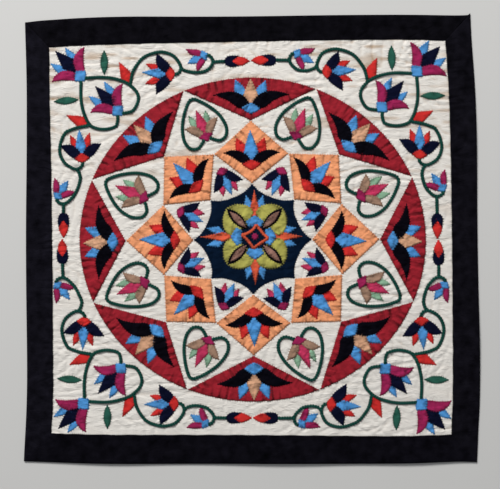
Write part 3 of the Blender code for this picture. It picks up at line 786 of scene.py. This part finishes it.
class Piece:
    """One object of several cloths: points, triangles, cloths, and the painted light of each part, which on
    the ground also holds brown blotches.
    """

    def __init__(self, name):
        self.name = name
        self.parts = []
        self.palette = []
        self.count = 0

    def add(self, points, faces, cloth, painted_light_and_blotches):
        """Add a closed shape of one cloth."""
        if cloth not in self.palette:
            self.palette.append(cloth)
        cloths = np.full(len(faces), self.palette.index(cloth))
        painted_light_and_blotch_weights = np.broadcast_to(painted_light_and_blotches, len(points))
        self.parts.append((points, np.asarray(faces) + self.count, cloths, painted_light_and_blotch_weights))
        self.count += len(points)

    def finish(self, slot, *nodes):
        """Make the object, which stands for these nodes of the frame."""
        points, faces, cloths, painted_light_and_blotch_weights = (np.concatenate(values) for values in zip(*self.parts))
        mesh = bpy.data.meshes.new(self.name)
        mesh.vertices.add(len(points))
        mesh.vertices.foreach_set("co", (points * MM).ravel())
        mesh.loops.add(faces.size)
        mesh.loops.foreach_set("vertex_index", faces.ravel().astype(np.int32))
        mesh.polygons.add(len(faces))
        mesh.polygons.foreach_set("loop_start", np.arange(0, faces.size, 3, dtype=np.int32))
        mesh.polygons.foreach_set("material_index", cloths.astype(np.int32))
        mesh.update(calc_edges=True)
        mesh.validate()
        mesh.shade_smooth()
        # painted shade and painted highlights, and on the ground brown blotches, kept on the points for the
        # shader
        painted_light_and_blotches = mesh.attributes.new("painted_light_and_blotches", "FLOAT", "POINT")
        painted_light_and_blotches.data.foreach_set("value", painted_light_and_blotch_weights.astype(np.float32))
        for cloth in self.palette:
            mesh.materials.append(cotton(cloth))
        body = put_in_scene(self.name, mesh)
        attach(body, "root")
        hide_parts(*nodes)
        return body


def add_sheet(piece, cloth, painted_light_and_blotches, count, upper, lower):
    """A closed sheet: upper face, underside and the wall between the rims, the first points of both."""
    high = np.arange(count)
    below = len(upper) + high
    wall = halves(below, np.roll(below, -1), np.roll(high, -1), high)
    face = triangles(upper[:count, :2], upper[count:, :2])
    back = triangles(lower[:count, :2], lower[count:, :2])[:, ::-1] + len(upper)
    piece.add(np.vstack((upper, lower)), np.vstack((face, wall, back)), cloth, painted_light_and_blotches)


def lay_patch(piece, cloth, outline, kind, seed):
    """A patch with turned and sewn edges, laid on the height map, which then holds it too."""
    scallop, fold_painted_light, step = LIE[kind][6:]
    loop = stitched_edge(outline, scallop, seed)
    count = len(loop)
    grid = hex_grid(loop.min(axis=0), loop.max(axis=0), step, int(1000 * abs(seed)) + 1)
    d, _, inside = from_edge(grid, loop)
    inner = grid[inside & (d > ROLL + ROOM * step)]
    ring = loop - right_of(unit(sum(steps_at(loop)), SPARE)) * ROLL
    d, _, inside = from_edge(ring, loop)
    points = np.vstack((loop, ring[inside & (d > 0.85 * ROLL)], inner))
    d, s, _ = from_edge(points, loop)
    d[:count] = 0
    height, fold = own_height(kind, points, d, s, seed)
    upper = np.column_stack((points, sample(stack, points) + np.maximum(height, LEAST)))
    low = np.vstack((loop, grid_within(loop, FLOOR_STEP)))
    lower = np.column_stack((low, sample(stack, low) - np.where(np.arange(len(low)) < count, *LET_IN)))
    # painted shade on a light patch and painted highlight on a dark one, strongest at the stitch notches,
    # fading in from the edge, and in the folds
    notch_painted_light = np.where(np.arange(count) % 2 == 0, *NOTCH_PAINTED_LIGHT)
    painted_light_and_blotches = np.concatenate((notch_painted_light, np.exp(-d[count:] / HEM_FADE) + fold_painted_light * fold[count:], np.ones(len(low))))
    add_sheet(piece, cloth, painted_light_and_blotches, count, upper, lower)
    part, cells = window(loop, 2)
    d, s, inside = from_edge(cells, loop)
    height, _ = own_height(kind, cells, d, s, seed)
    height = np.where(inside, np.maximum(height, LEAST), 0)
    sink = np.where(inside, SUNK * ramp(d, SUNK_FROM), 0)
    shape = X[part].shape
    stack[part] += height.reshape(shape)
    covered[part] |= (inside & (d > HIDDEN_FROM)).reshape(shape)
    sunk[part] = np.maximum(sunk[part], sink.reshape(shape))
    sew(piece, cloth, loop)


def add_stitches(piece, cloth, painted_light_and_blotches, thread, root, tip, along, root_z, tip_z):
    """Stitches, each a thin diamond from its root to its tip, with a crest and an underside."""
    half, at_root, at_tip, over, crest, sides, under = thread
    middle = (tip + root) / 2
    top = np.maximum(root_z, tip_z) + over
    corners = (
        (root, root_z + at_root),
        (middle - along * half, top + sides),
        (tip, tip_z + at_tip),
        (middle + along * half, top + sides),
        (middle, top + crest),
        (middle, top + under),
    )
    verts = np.stack([np.column_stack(corner) for corner in corners], axis=1).reshape(-1, 3)
    faces = (np.arange(len(root))[:, None, None] * len(corners) + np.array(STITCH_FACES)).reshape(-1, 3)
    piece.add(verts, faces, cloth, painted_light_and_blotches)


def sew(piece, cloth, loop):
    """Short hem stitches that bite from the edge of a patch into the cloth under it."""
    reach, slanted, back = HEM_BITE
    at = loop[1::2]
    along = np.roll(loop, -1, axis=0)[1::2] - np.roll(loop, 1, axis=0)[1::2]
    # there is no stitch where the two edges of a tip come close
    away = np.linalg.norm(at[:, None] - loop[None], axis=2)
    apart = np.abs(np.arange(1, len(loop), 2)[:, None] - np.arange(len(loop)))
    away[np.minimum(apart, len(loop) - apart) < 2] = TIP_WIDTH
    wide = away.min(axis=1) >= TIP_WIDTH
    at = at[wide]
    along = unit(along[wide], SPARE)
    outward = right_of(along)
    slant = (outward + slanted * along) * reach
    tip = at + slant
    edge = sample(stack, at - outward * HEM_IN)
    root = at - slant * back
    add_stitches(piece, cloth, STITCH_SHADE, HEM_THREAD, root, tip, along, edge, sample(stack, tip))


def trimmed(path, covers):
    """A cord's path without its ends under these outlines, but for the steps that tuck in there."""
    p = even(path, CORD_STEP)
    hidden = np.zeros(len(p), bool)
    for loop in covers:
        hidden |= from_edge(p, loop)[2]
    shown = np.flatnonzero(~hidden)
    return p[max(shown[0] - TUCKED_STEPS, 0):shown[-1] + 1 + TUCKED_STEPS]


def lay_cord(piece, path):
    """Two strands twisted round each other, sewn down along a path."""
    p = even(path, CORD_STEP)
    side = right_of(unit(np.gradient(p, axis=0)))
    s = np.arange(len(p)) * CORD_STEP
    kept, rising = CORD_END
    tucked = np.clip(kept + np.minimum(s, s[-1] - s) / rising, 0, 1)[:, None]
    base = sample(stack, p)[:, None]
    around = 2 * pi * np.arange(CORD_SIDES) / CORD_SIDES
    faces = halves(*tube(len(p), CORD_SIDES))
    last = (len(p) - 1) * CORD_SIDES
    fan = range(1, CORD_SIDES - 1)
    caps = [(0, c + 1, c) for c in fan] + [(last, last + c, last + c + 1) for c in fan]
    for start in (0, pi):
        phase = 2 * pi * s / TURN + start
        centre = p + side * (SWING[0] * np.cos(phase))[:, None]
        height = STRAND[1] * SEATED + SWING[1] * (1 + np.sin(phase))
        ring = centre[:, None] + side[:, None] * (STRAND[0] * np.cos(around))[None, :, None]
        z = base + tucked * (height[:, None] + STRAND[1] * np.sin(around)[None])
        verts = np.concatenate((ring, z[..., None]), axis=2).reshape(-1, 3)
        # painted highlight on the top of each bead of the cord
        bead_highlight = BEAD_HIGHLIGHT * np.clip(np.sin(phase), 0, 1)[:, None] * np.clip(np.sin(around), 0, 1)
        piece.add(verts, np.vstack((faces, caps)), "vine", bead_highlight.ravel())


def ripple(loop, seed):
    """Puckers in the ground just outside a sewn edge."""
    part, cells = window(loop, 3 * RIPPLE_REACH)
    d, s, inside = from_edge(cells, loop)
    shift, slow, turn = RIPPLE_SHIFT
    depth, width = GROOVE
    wave = np.cos(2 * pi * s / RIPPLE_PITCH + shift * np.sin(s / slow + turn * seed))
    push = RIPPLE * np.exp(-d / RIPPLE_REACH) * wave * ~inside - depth * np.exp(-(d / width) ** 2) * ~inside
    # a patch bridges the creases under it
    low, rise, reach = BRIDGE
    bridge = np.where(inside, GROUND - low + rise * np.clip(d / reach, 0, 1), 0)
    push, bridge, close = (values.reshape(X[part].shape) for values in (push, bridge, d < NEAR))
    ground[part] += push
    ground[part] = np.maximum(ground[part], bridge + lifts[part] * (bridge > 0))
    near[part] |= close


def dent(path):
    """The ground drawn down along a sewn cord."""
    step, reach, depth, square_width = DENT
    p = even(path, step)
    part, cells = window(p, reach)
    square = np.full(len(cells), np.inf)
    for x, y in p:
        square = np.minimum(square, (cells[:, 0] - x) ** 2 + (cells[:, 1] - y) ** 2)
    square = square.reshape(X[part].shape)
    ground[part] -= depth * np.exp(-square / square_width)
    near[part] |= square < NEAR**2


def lotus(kind, base, heading, scale, seed):
    """Petals of one lotus from the back to the front: kind, cloth, outline and seed of each."""
    (wide, side_height, top), end, back, face, (half, broad, tip), side = LOTUS[kind]
    curved, calyx_cloth, middle_cloth, small_cloth = PAINT[kind]
    petals = []
    if side:
        # the lower end of a small petal runs on under the middle petal and the curved one
        point, inside, root, outside = side
        lower = ((inside[0] * 0.4, inside[1] - 14), np.add(root, (0, -9)), np.add(outside, (-1, -7)))
        small = np.vstack((lower, bow(outside, point, 0.9, 6), bow(point, inside, 0.7, 6), (inside,)))
        petals += [(small_cloth, small), (small_cloth, flipped(small))]
    right = np.vstack((bow((0, top - 6), (half, broad), 0.8, 4), bow((half, broad), (0, tip), 0.9, 8)))
    petals.append((middle_cloth, np.vstack((right, ((0, tip),), flipped(right)[:-1]))))
    back = catmull(((0.5, top - 3), *back, end), 7)
    petal = np.vstack((catmull((end, *face, (wide - 2, side_height - 1)), 7), back[:-1]))
    petals += [(curved, petal), (curved, flipped(petal))]
    calyx = bowed(((0, 0), (wide, side_height), (0, top), (-wide, side_height)), CALYX_BULGES, 5)
    petals.append((calyx_cloth, calyx))
    items = []
    for number, (cloth, outline) in enumerate(petals):
        off = scatter(seed, number)
        grown = scale * (1 + PETAL_GROWTH * scatter(seed + 3, number))
        lie = "calyx" if outline is calyx else "petal"
        items.append((lie, cloth, put(outline * grown, base, heading + PETAL_TURN * off), off))
    return items


def spray(number, corner, *runs):
    """The vine out of one corner, with its flowers, buds and leaves, along a level and an upright run."""
    cords = []
    items = []
    half = catmull(BUD_PETAL, 3)
    petal = np.vstack((BUD_ROOT, half, flipped(half[:-1])))
    half = catmull(CUP, 4)
    cup = np.vstack((half, CUP_NOTCH, flipped(half)[:-1]))
    red = bowed(RED_LEAF, [0.6] * len(RED_LEAF), 5)
    for upright, run in enumerate(runs):
        seed = number + 4.5 * upright
        heading = -90 * corner[1] if upright else 90 + 90 * corner[0]
        here = corner, run, upright
        base = bud_base(*here)
        cords += [on_run(catmull(path, CURVE), *here) for path in (SPRAY_HEART, CURL, TENDRIL)]
        cords.append(np.vstack((on_run((STEM_START,), *here), put((STEM_END,), base, heading))))
        items.append(("petal", "red", on_run(red, *here), scatter(seed, 9)))
        place, tip = on_run((LEAF_PLACE, (LEAF_PLACE[0], 0)), *here)
        leaf = put(leaf_shape(*LEAF), place, heading_of(place, tip) + 4 * scatter(seed, 12))
        items.append(("petal", "leaf", leaf, scatter(seed, 10)))
        for kind, ends in (("curl", CURL_FLOWER), ("tendril", TENDRIL_FLOWER)):
            place, tip = on_run(ends, *here)
            items += lotus(kind, place, heading_of(place, tip), 1.0, seed + 0.37)
        items.append(("petal", "red", put(petal, base, heading), scatter(seed, 13)))
        items.append(("calyx", "navy", put(cup, base, heading), scatter(seed, 14)))
    for ends, scale in ((OUTER_FLOWER, 1.0), (INNER_FLOWER, INNER_SCALE)):
        base, tip = on_run(ends, corner, runs[0], False)
        items += lotus("corner", base, heading_of(base, tip), scale, number + scale)
    return [("cord", "vine", path, 0) for path in cords] + items


def rosette():
    """The flower in the middle of the star."""
    middle = np.array(CENTRE) + ROSETTE_SHIFT
    back = []
    lobes = []
    pads = []
    front = []
    half = np.vstack((catmull(OLIVE_OUTSIDE, 7)[1:], OLIVE_INSIDE[0]))
    lobe = np.vstack((OLIVE_OUTSIDE[0], half, flipped(half)))
    for k, (heading, pad, spike_root, spike_tip) in enumerate(ARMS):
        spikes = ((SPIKE_PETAL, "blue"), (flipped(SPIKE_PETAL), "blue"), (SPIKE, "vermilion"))
        for n, (outline, cloth) in enumerate(spikes):
            reach = (0, spike_root) + np.asarray(outline) * (1, spike_tip - spike_root)
            back.append(("petal", cloth, put(reach, middle, heading), scatter(k, 20 + n)))
        diagonal = heading + 45
        lobes.append(("lobe", "olive", put(lobe, middle, diagonal), scatter(k, 24)))
        for lie, cloth, form in (("petal", "black", LENS), ("seed", "brown", LENS_SEED)):
            front.append((lie, cloth, put(leaf_shape(*form), middle, diagonal), scatter(k, form[2])))
        pads.append(("petal", "blue", put(np.add(PAD, (0, pad)), middle, heading), scatter(k, 25)))
    wide, tall = DIAMOND
    corners = put(((wide, 0), (0, tall), (-wide, 0), (0, -tall)), middle, DIAMOND_TURN)
    front.append(("star", "star", corners, 0.3))
    for i, (a, b, sag) in enumerate(zip(corners, np.roll(corners, -1, axis=0), DIAMOND_SAGS)):
        line = np.vstack((bow(a, b, sag, CURVE), b))
        side = right_of(unit(np.gradient(line, axis=0))) * DIAMOND_BAR / 2
        front.append(("bar", "vermilion", np.vstack((line + side, (line - side)[::-1])), 0.1 * i))
    turns = np.linspace(0, 2 * pi, 16, endpoint=False)
    dot = DOT * np.column_stack((np.cos(turns), np.sin(turns)))
    front.append(("calyx", "magenta", middle + dot, 0.7))
    return back + lobes + pads + front


def on_panel(items):
    """The items moved from the planned pattern to where they really lie."""
    return [(kind, cloth, by_hand(outline), seed) for kind, cloth, outline, seed in items]


def single_patch(kind, cloth, outline, seed):
    """What a piece that is one patch, drawn in all round, is made of."""
    return [(kind, cloth, drawn_in(by_hand(np.array(outline)), DRAWN_IN), seed)]


def plan():
    """Every piece on the ground, from the back to the front: name, slot and what it is made of."""
    pieces = []
    star = []
    for k in range(AROUND):
        middle = SECTOR * k
        before = middle - SECTOR / 2
        after = middle + SECTOR / 2
        arc = [polar(1, turn) for turn in np.linspace(before, after, 40)]
        quad = (polar(NOTCH, middle), polar(SHOULDER, after), polar(POINT, middle), polar(SHOULDER, before))
        pieces += [
            (f"crimson_segment_{k + 1}", "crimson_cotton",
             single_patch("segment", "crimson", [*arc, polar(NOTCH, middle)], scatter(k, 1))),
            (f"orange_quad_{k + 1}", "orange_cotton", single_patch("quad", "orange", quad, scatter(k, 7))),
        ]
        star.append(polar(POINT, middle))
        star += [polar(radius, middle + turn) for turn, radius in HOLLOW]
        star.append(polar(VALLEY, after))
        star += [polar(radius, middle + SECTOR - turn) for turn, radius in HOLLOW[::-1]]
    pieces.append(("navy_star", "navy_cotton", single_patch("star", "star", star, 0.4)))
    heart = catmull([*HEART, *flipped(HEART)[1:]], CURVE)
    for k in range(AROUND):
        middle = SECTOR * k
        after = middle + SECTOR / 2
        flowers = (
            ("ring_lotus", "ring", polar(RING_BASE, middle + 0.6 * scatter(k, 2)),
             middle + RING_TURN[k] + scatter(k, 3), 0),
            ("orange_lotus", "quad", polar(QUAD_BASE, middle), middle + 2 * scatter(k, 4), 0.2),
            ("inner_lotus", "inner", polar(INNER_BASE, after), after + 180 + scatter(k, 5), 0.4),
            ("heart_vine", "heart", polar(HEART_BASE, after), after + 3 * scatter(k, 6), 0.6),
        )
        for name, kind, base, heading, seed in flowers:
            items = [("cord", "vine", put(heart, base, heading), 0)] if kind == "heart" else []
            items += lotus(kind, base, heading, 1.0, k + seed)
            pieces.append((f"{name}_{k + 1}", f"{kind}_flower", on_panel(items)))
    pieces.append(("centre_rosette", "rosette_petals", on_panel(rosette())))
    for number, row in enumerate(RUNS):
        pieces.append((f"corner_spray_{number + 1}", "spray_flowers", on_panel(spray(number, *row))))
    return pieces


def inward_from(side, x, y):
    """Distance in from the fold of a side, and the share of its length, at each place."""
    along, across = (x, y) if side in ("top", "bottom") else (y, x)
    edge, share = edge_at(side, edge_curve(side, False), along)
    inward = edge - across if side in ("top", "right") else across - edge
    return inward, share


def inward_at(points):
    """Distance in from the nearest fold at each point."""
    return np.min([inward_from(side, *points.T)[0] for side in SIDES], axis=0)


def lift(side, share, inward):
    """How far the cloth stands off the surface at a share of a side and a distance in from the fold."""
    height = 0.0
    for place, spread, top in LIFTS[side]:
        height = height + top * np.exp(-((share - place) / spread) ** 2)
    fade = np.clip(np.minimum(share, 1 - share) / CORNER_FADE, 0, 1)
    return height * fade * (1 - np.clip(inward, 0, LIFT_REACH) / LIFT_REACH) ** 2


def creases():
    """The ground's relief: creases at several slants, puckers along the border's seam, softer swells."""
    total = layered(SWELLS)
    for slant, pitch, height, patch, seed in CREASES:
        across = Y * cos(radians(slant)) - X * sin(radians(slant))
        phase = 2 * pi * (across / pitch + 0.8 * noise(3.6 * pitch, 2.4 * pitch, seed))
        strength = height * np.clip(0.05 + 1.5 * noise(patch, 0.5 * patch, seed + 1), 0, 1)
        total += strength * 1.5 * (0.27 - np.exp(CREASE_SHARP * (np.cos(phase) - 1)))
    height, pitch, reach = BORDER_PUCKER
    for number, side in enumerate(SIDES):
        inward, share = inward_from(side, X, Y)
        place = share * 2 * FIELD_X
        wave = np.cos(2 * pi * place / pitch + 2.4 * np.sin(place / 37 + number))
        strength = height * np.clip(0.55 + 0.8 * noise(60, 60, 70 + number), 0, 1)
        total += strength * wave * np.exp(-np.abs(inward - BORDER_WIDTH) / reach)
    edge = np.maximum(np.abs(X) - FIELD_X, np.abs(Y) - FIELD_Y)
    return total * np.clip(1 - edge / 40, 0.25, 1)


def ground_sheet():
    """The cream ground: fine where it shows, coarse where patches cover it."""
    around = []
    for side in SIDES:
        shares = np.linspace(0, 1, RIM_POINTS, endpoint=False)
        outer, inner = (even_stations(edge_curve(side, which), shares) for which in (False, True))
        around.append(outer + (inner - outer) * TUCKED / BORDER_WIDTH)
    rim = np.vstack(around)[::-1]
    corners = (-REACH, -REACH), (REACH, REACH)
    grids = []
    for kind, step in enumerate((OPEN_STEP, NEAR_STEP, COVERED_STEP)):
        grid = hex_grid(*corners, step, 5)
        hidden = sample(covered.astype(float), grid) > 0.99
        close = sample(near.astype(float), grid) > 0.5
        grids.append(grid[(inward_at(grid) > TUCKED * 1.14) & (np.where(hidden, 2, close) == kind)])
    points = np.vstack((rim, *grids))
    hidden = sample(covered.astype(float), points) > 0.99
    top = sample(ground, points) - sample(sunk, points)
    top = np.where(hidden, sample(lifts, points) + 0.5, top)
    coarse = hex_grid(*corners, UNDER_STEP, 6)
    low = np.vstack((rim, coarse[inward_at(coarse) > TUCKED * 1.3]))
    under = sample(lifts, low) + RAISED_HEM * (1 - ramp(inward_at(low), RAISED_TO))
    sheet = Piece("ground_cloth")
    # painted shade in the dips of the creases, and brown blotches, for the shader to tint the ground
    dips = sample(dip_shade_and_blotches, np.vstack((points, low)))
    upper = np.column_stack((points, top))
    add_sheet(sheet, "cream", dips, len(rim), upper, np.column_stack((low, under)))
    return sheet.finish("cream_ground", "ground_panel")


def border_strip(side):
    """One side of the border: front flap, fold and hem, mitred, with its sewn inner edge."""
    ends = np.array(END_STATIONS)
    shares = np.concatenate((ends, np.linspace(*STATIONS), 1 - ends[::-1]))
    outer, inner = (even_stations(edge_curve(side, which), shares) for which in (False, True))
    length = np.linalg.norm(outer[-1] - outer[0])
    along = (outer[-1] - outer[0]) / length
    flap_w, flap_top, _ = np.array(FLAP[::-1]).T
    front = SEWN_EDGE + [(w, float(np.interp(w, flap_w, flap_top))) for w in np.linspace(*ACROSS_FLAP)]
    section = front + list(FOLD) + [(w, low) for w, low, _ in HEM]
    section += [(w, high) for w, _, high in HEM[::-1]] + [FOLD_INSIDE]
    section += [(w, under) for w, _, under in FLAP[::-1]]
    number = list(SIDES).index(side)
    place = shares * length
    from_end = np.minimum(place, length - place)
    jut, sway, slow = JAG
    jag = np.where(np.arange(len(shares)) % 2 == 1, jut, -jut) + sway * np.sin(place / slow + number)
    height_of, reach, pitch, shift, slow = SEAM_PUCKER
    wave = np.cos(2 * pi * place / pitch + shift * np.sin(place / slow + number))
    verts = []
    for i, (w, z) in enumerate(section):
        seam = np.exp(-max(0.0, BORDER_WIDTH - w) / JAG_REACH)
        across = w + (jag * seam if w > SEWN_FROM else 0)
        flat = outer + (inner - outer) * (np.zeros(len(shares)) + across)[:, None] / BORDER_WIDTH
        flat[0] -= along * MITRE_LAP
        flat[-1] += along * MITRE_LAP
        height = z + lift(side, shares, np.full(len(shares), float(w)))
        if i < len(front):
            height = height + height_of * np.exp(-(BORDER_WIDTH - w) / reach) * wave
            height = height + sample(border_relief, flat)
            height = height - MITRE_DROP[0] * np.exp(-from_end / MITRE_DROP[1])
            height = height + MITRE_SWELL[0] * np.exp(-(from_end / MITRE_SWELL[1]) ** 2)
        elif w > OVER_GROUND:
            height = height + np.minimum(0, sample(border_relief, flat))
        verts.append(np.column_stack((flat, height)))
    ring = len(section)
    verts = np.stack(verts, axis=1)
    here, beside, beside_on, here_on = tube(len(shares), ring)
    faces = halves(here, here_on, beside_on, beside)
    cap = triangles_of_section(np.array(section))
    last = (len(shares) - 1) * ring
    # painted highlight along the fold of the black border
    painted_light_and_blotches = np.tile([np.exp(-abs(w - FOLD[0][0]) / FOLD_HIGHLIGHT_WIDTH) for w, _ in section], len(shares))
    strip = Piece(f"border_cloth_{side}")
    strip.add(verts.reshape(-1, 3), np.vstack((faces, cap, cap[:, ::-1] + last)), f"border_{side}", painted_light_and_blotches)
    strip_stitches(strip, verts[3:-3:2, 0], along, side)
    return strip.finish("black_border", f"border_{side}")


def triangles_of_section(section):
    """Triangles that close the end of a border strip, which goes round its section one way."""
    loop = section * (1, 1)
    flip = area_of(loop) < 0
    order = np.arange(len(loop))[::-1] if flip else np.arange(len(loop))
    tris = order[triangles(loop[order] * (1, 3), np.empty((0, 2)))]
    return tris if flip else tris[:, ::-1]


def strip_stitches(strip, edge, along, side):
    """Black stitches that bite from the border's inner edge into the ground."""
    inward = {"top": (0, -1), "right": (-1, 0), "bottom": (0, 1), "left": (1, 0)}[side]
    reach, slanted, back = SEAM_BITE
    slant = np.array(inward) * reach + along * slanted
    at = edge[:, :2]
    tip = at + slant
    root = at - slant * back
    heights = edge[:, 2], sample(ground, tip)
    add_stitches(strip, f"border_{side}", 0.0, SEAM_THREAD, root, tip, along, *heights)


def fill(node, inputs):
    """Set inputs of a shader node, each to a value or to the output that feeds it."""
    for name, value in inputs.items():
        if hasattr(value, "is_output"):
            node.id_data.links.new(value, node.inputs[name])
        else:
            node.inputs[name].default_value = value


def cotton(name):
    """The material of one cloth: plain weave, slubs, colour a little uneven, and the painted light that its
    mesh carries, which on the cream ground is a brown tint of painted shade and blotches.
    """
    found = bpy.data.materials.get(name)
    if found:
        return found
    cream = name == "cream"
    colour = linear(COLOURS[name])
    specular, sheen, patches, slubs, painted_light_and_blotch_weights, taken = DARK if max(colour) < DARKEST else LIGHT
    patches = PATCHY.get(name.split("_")[0], patches)
    material = bpy.data.materials.new(name)
    material.use_nodes = True
    tree = material.node_tree

    def node(kind, inputs, **settings):
        made = tree.nodes.new(kind)
        for key, value in settings.items():
            setattr(made, key, value)
        fill(made, inputs)
        return made

    def math(operation, *values):
        return node("ShaderNodeMath", dict(enumerate(values)), operation=operation).outputs[0]

    def texture(vector, inputs):
        return node("ShaderNodeTexNoise", {"Vector": vector, **inputs}).outputs["Fac"]

    place = node("ShaderNodeTexCoord", {}).outputs["Object"]
    threads = [node("ShaderNodeTexWave", {"Vector": place, **THREADS}, bands_direction=way) for way in "XY"]
    weave = math("MULTIPLY", *(thread.outputs["Fac"] for thread in threads))
    slub = texture(place, SLUBS)
    painted_light_and_blotches = node("ShaderNodeAttribute", {}, attribute_name="painted_light_and_blotches").outputs["Fac"]
    tone = math("MULTIPLY_ADD", texture(place, PATCHES), patches, 1 - patches / 2)
    tone = math("MULTIPLY_ADD", slub, slubs, tone)
    tone = math("SUBTRACT", tone, taken)
    tone = math("MULTIPLY_ADD", weave, WEAVE_TONE, tone)
    # painted shade darkens light cloths, and painted highlight lightens dark ones, at edges, folds, stitches
    # and beads
    if not cream:
        tone = math("MULTIPLY_ADD", painted_light_and_blotches, painted_light_and_blotch_weights, tone)
    result = node("ShaderNodeVectorMath", {0: colour, "Scale": tone}, operation="SCALE").outputs[0]
    # the cream ground is tinted brown by painted shade in its dips and by brown blotches
    if cream:
        shaded_and_blotched = {"Factor": painted_light_and_blotches, "A": result, "B": (*linear(DIP_SHADE_AND_BLOTCH_TINT), 1)}
        result = node("ShaderNodeMix", shaded_and_blotched, data_type="RGBA").outputs["Result"]
    stretch = node("ShaderNodeVectorMath", {0: place, 1: CRINKLE_STRETCH}, operation="MULTIPLY").outputs[0]
    crinkle = texture(stretch, CRINKLES)
    crinkled, folded = CREAM_RELIEF if cream else CLOTH_RELIEF
    height = math("MULTIPLY_ADD", slub, SLUB_HEIGHT, weave)
    height = math("MULTIPLY_ADD", crinkle, crinkled, height)
    height = math("MULTIPLY_ADD", math("ABSOLUTE", math("SUBTRACT", crinkle, 0.5)), folded, height)
    bump = node("ShaderNodeBump", {"Height": height, **BUMP})
    fill(tree.nodes["Principled BSDF"], {
        "Base Color": result,
        "Roughness": ROUGH,
        "Specular IOR Level": specular,
        "Sheen Weight": sheen,
        "Sheen Roughness": SOFT_SHEEN,
        "Normal": bump.outputs["Normal"],
    })
    return material


def pale_floor():
    """The plain pale surface that the panel lies on."""
    mesh = bpy.data.meshes.new("floor")
    corners = [(x * FLOOR_SIZE, y * FLOOR_SIZE, 0) for x, y in ((-1, -1), (1, -1), (1, 1), (-1, 1))]
    mesh.from_pydata(corners, [], [(0, 1, 2, 3)])
    material = bpy.data.materials.new("floor")
    material.use_nodes = True
    shader = material.node_tree.nodes["Principled BSDF"]
    fill(shader, {"Base Color": (*linear(FLOOR_COLOUR), 1), "Roughness": 0.9})
    mesh.materials.append(material)
    put_in_scene("floor", mesh)


def studio():
    """Camera straight above, a broad soft light from the top of the panel, and pale light all round."""
    scene = bpy.context.scene
    scene.view_settings.view_transform = "Standard"
    lens = bpy.data.cameras.new("camera")
    lens.lens = 50
    lens.sensor_width = 36
    scene.camera = put_in_scene("camera", lens)
    scene.camera.location = EYE
    lamp = bpy.data.lights.new("window", "AREA")
    for key, value in LAMP.items():
        setattr(lamp, key, value)
    light = put_in_scene("window", lamp)
    light.location = LAMP_PLACE
    light.rotation_euler = LAMP_TURN
    scene.world = bpy.data.worlds.new("room")
    scene.world.use_nodes = True
    fill(scene.world.node_tree.nodes["Background"], SURROUND)


lifts = sum(lift(side, *inward_from(side, X, Y)[::-1]) for side in SIDES)
relief = creases()
crumple = layered(CRUMPLE)
border_relief = layered(BORDER_SWELLS, np.maximum(relief, -0.8))
# painted shade in the dips of the creases, and brown blotches, both stronger toward the top
dip_shade_weight = np.clip(layered(DIP_SHADE_NOISE, 0.45) + 0.35 * (Y / FIELD_Y), 0, 1)
brown_blotches = np.clip(layered(BROWN_BLOTCHES) - 0.45, 0, 0.75) * np.clip(0.15 + 0.95 * Y / FIELD_Y, 0.08, 1)
dip_shade_and_blotches = np.clip(-0.42 * relief - 0.12, 0, 0.6) * dip_shade_weight + brown_blotches
ground = GROUND + lifts + relief
covered = np.zeros(X.shape, bool)
sunk = np.zeros(X.shape)
near = np.zeros(X.shape, bool)
pieces = plan()
for _, _, items in pieces:
    for kind, _, outline, seed in items:
        if kind == "cord":
            dent(outline)
        else:
            ripple(outline, seed)
ground = np.maximum(ground, 0.8 + lifts)
stack = ground.copy()
for name, slot, items in pieces:
    piece = Piece(f"{name}_cloth")
    covers = [outline for kind, _, outline, _ in items if kind == "calyx"]
    for kind, cloth, outline, seed in items:
        if kind == "cord":
            lay_cord(piece, trimmed(outline, covers))
        else:
            lay_patch(piece, cloth, outline, kind, seed)
    piece.finish(slot, name)
sheet = ground_sheet()
strips = [border_strip(side) for side in SIDES]
pale_floor()
studio()
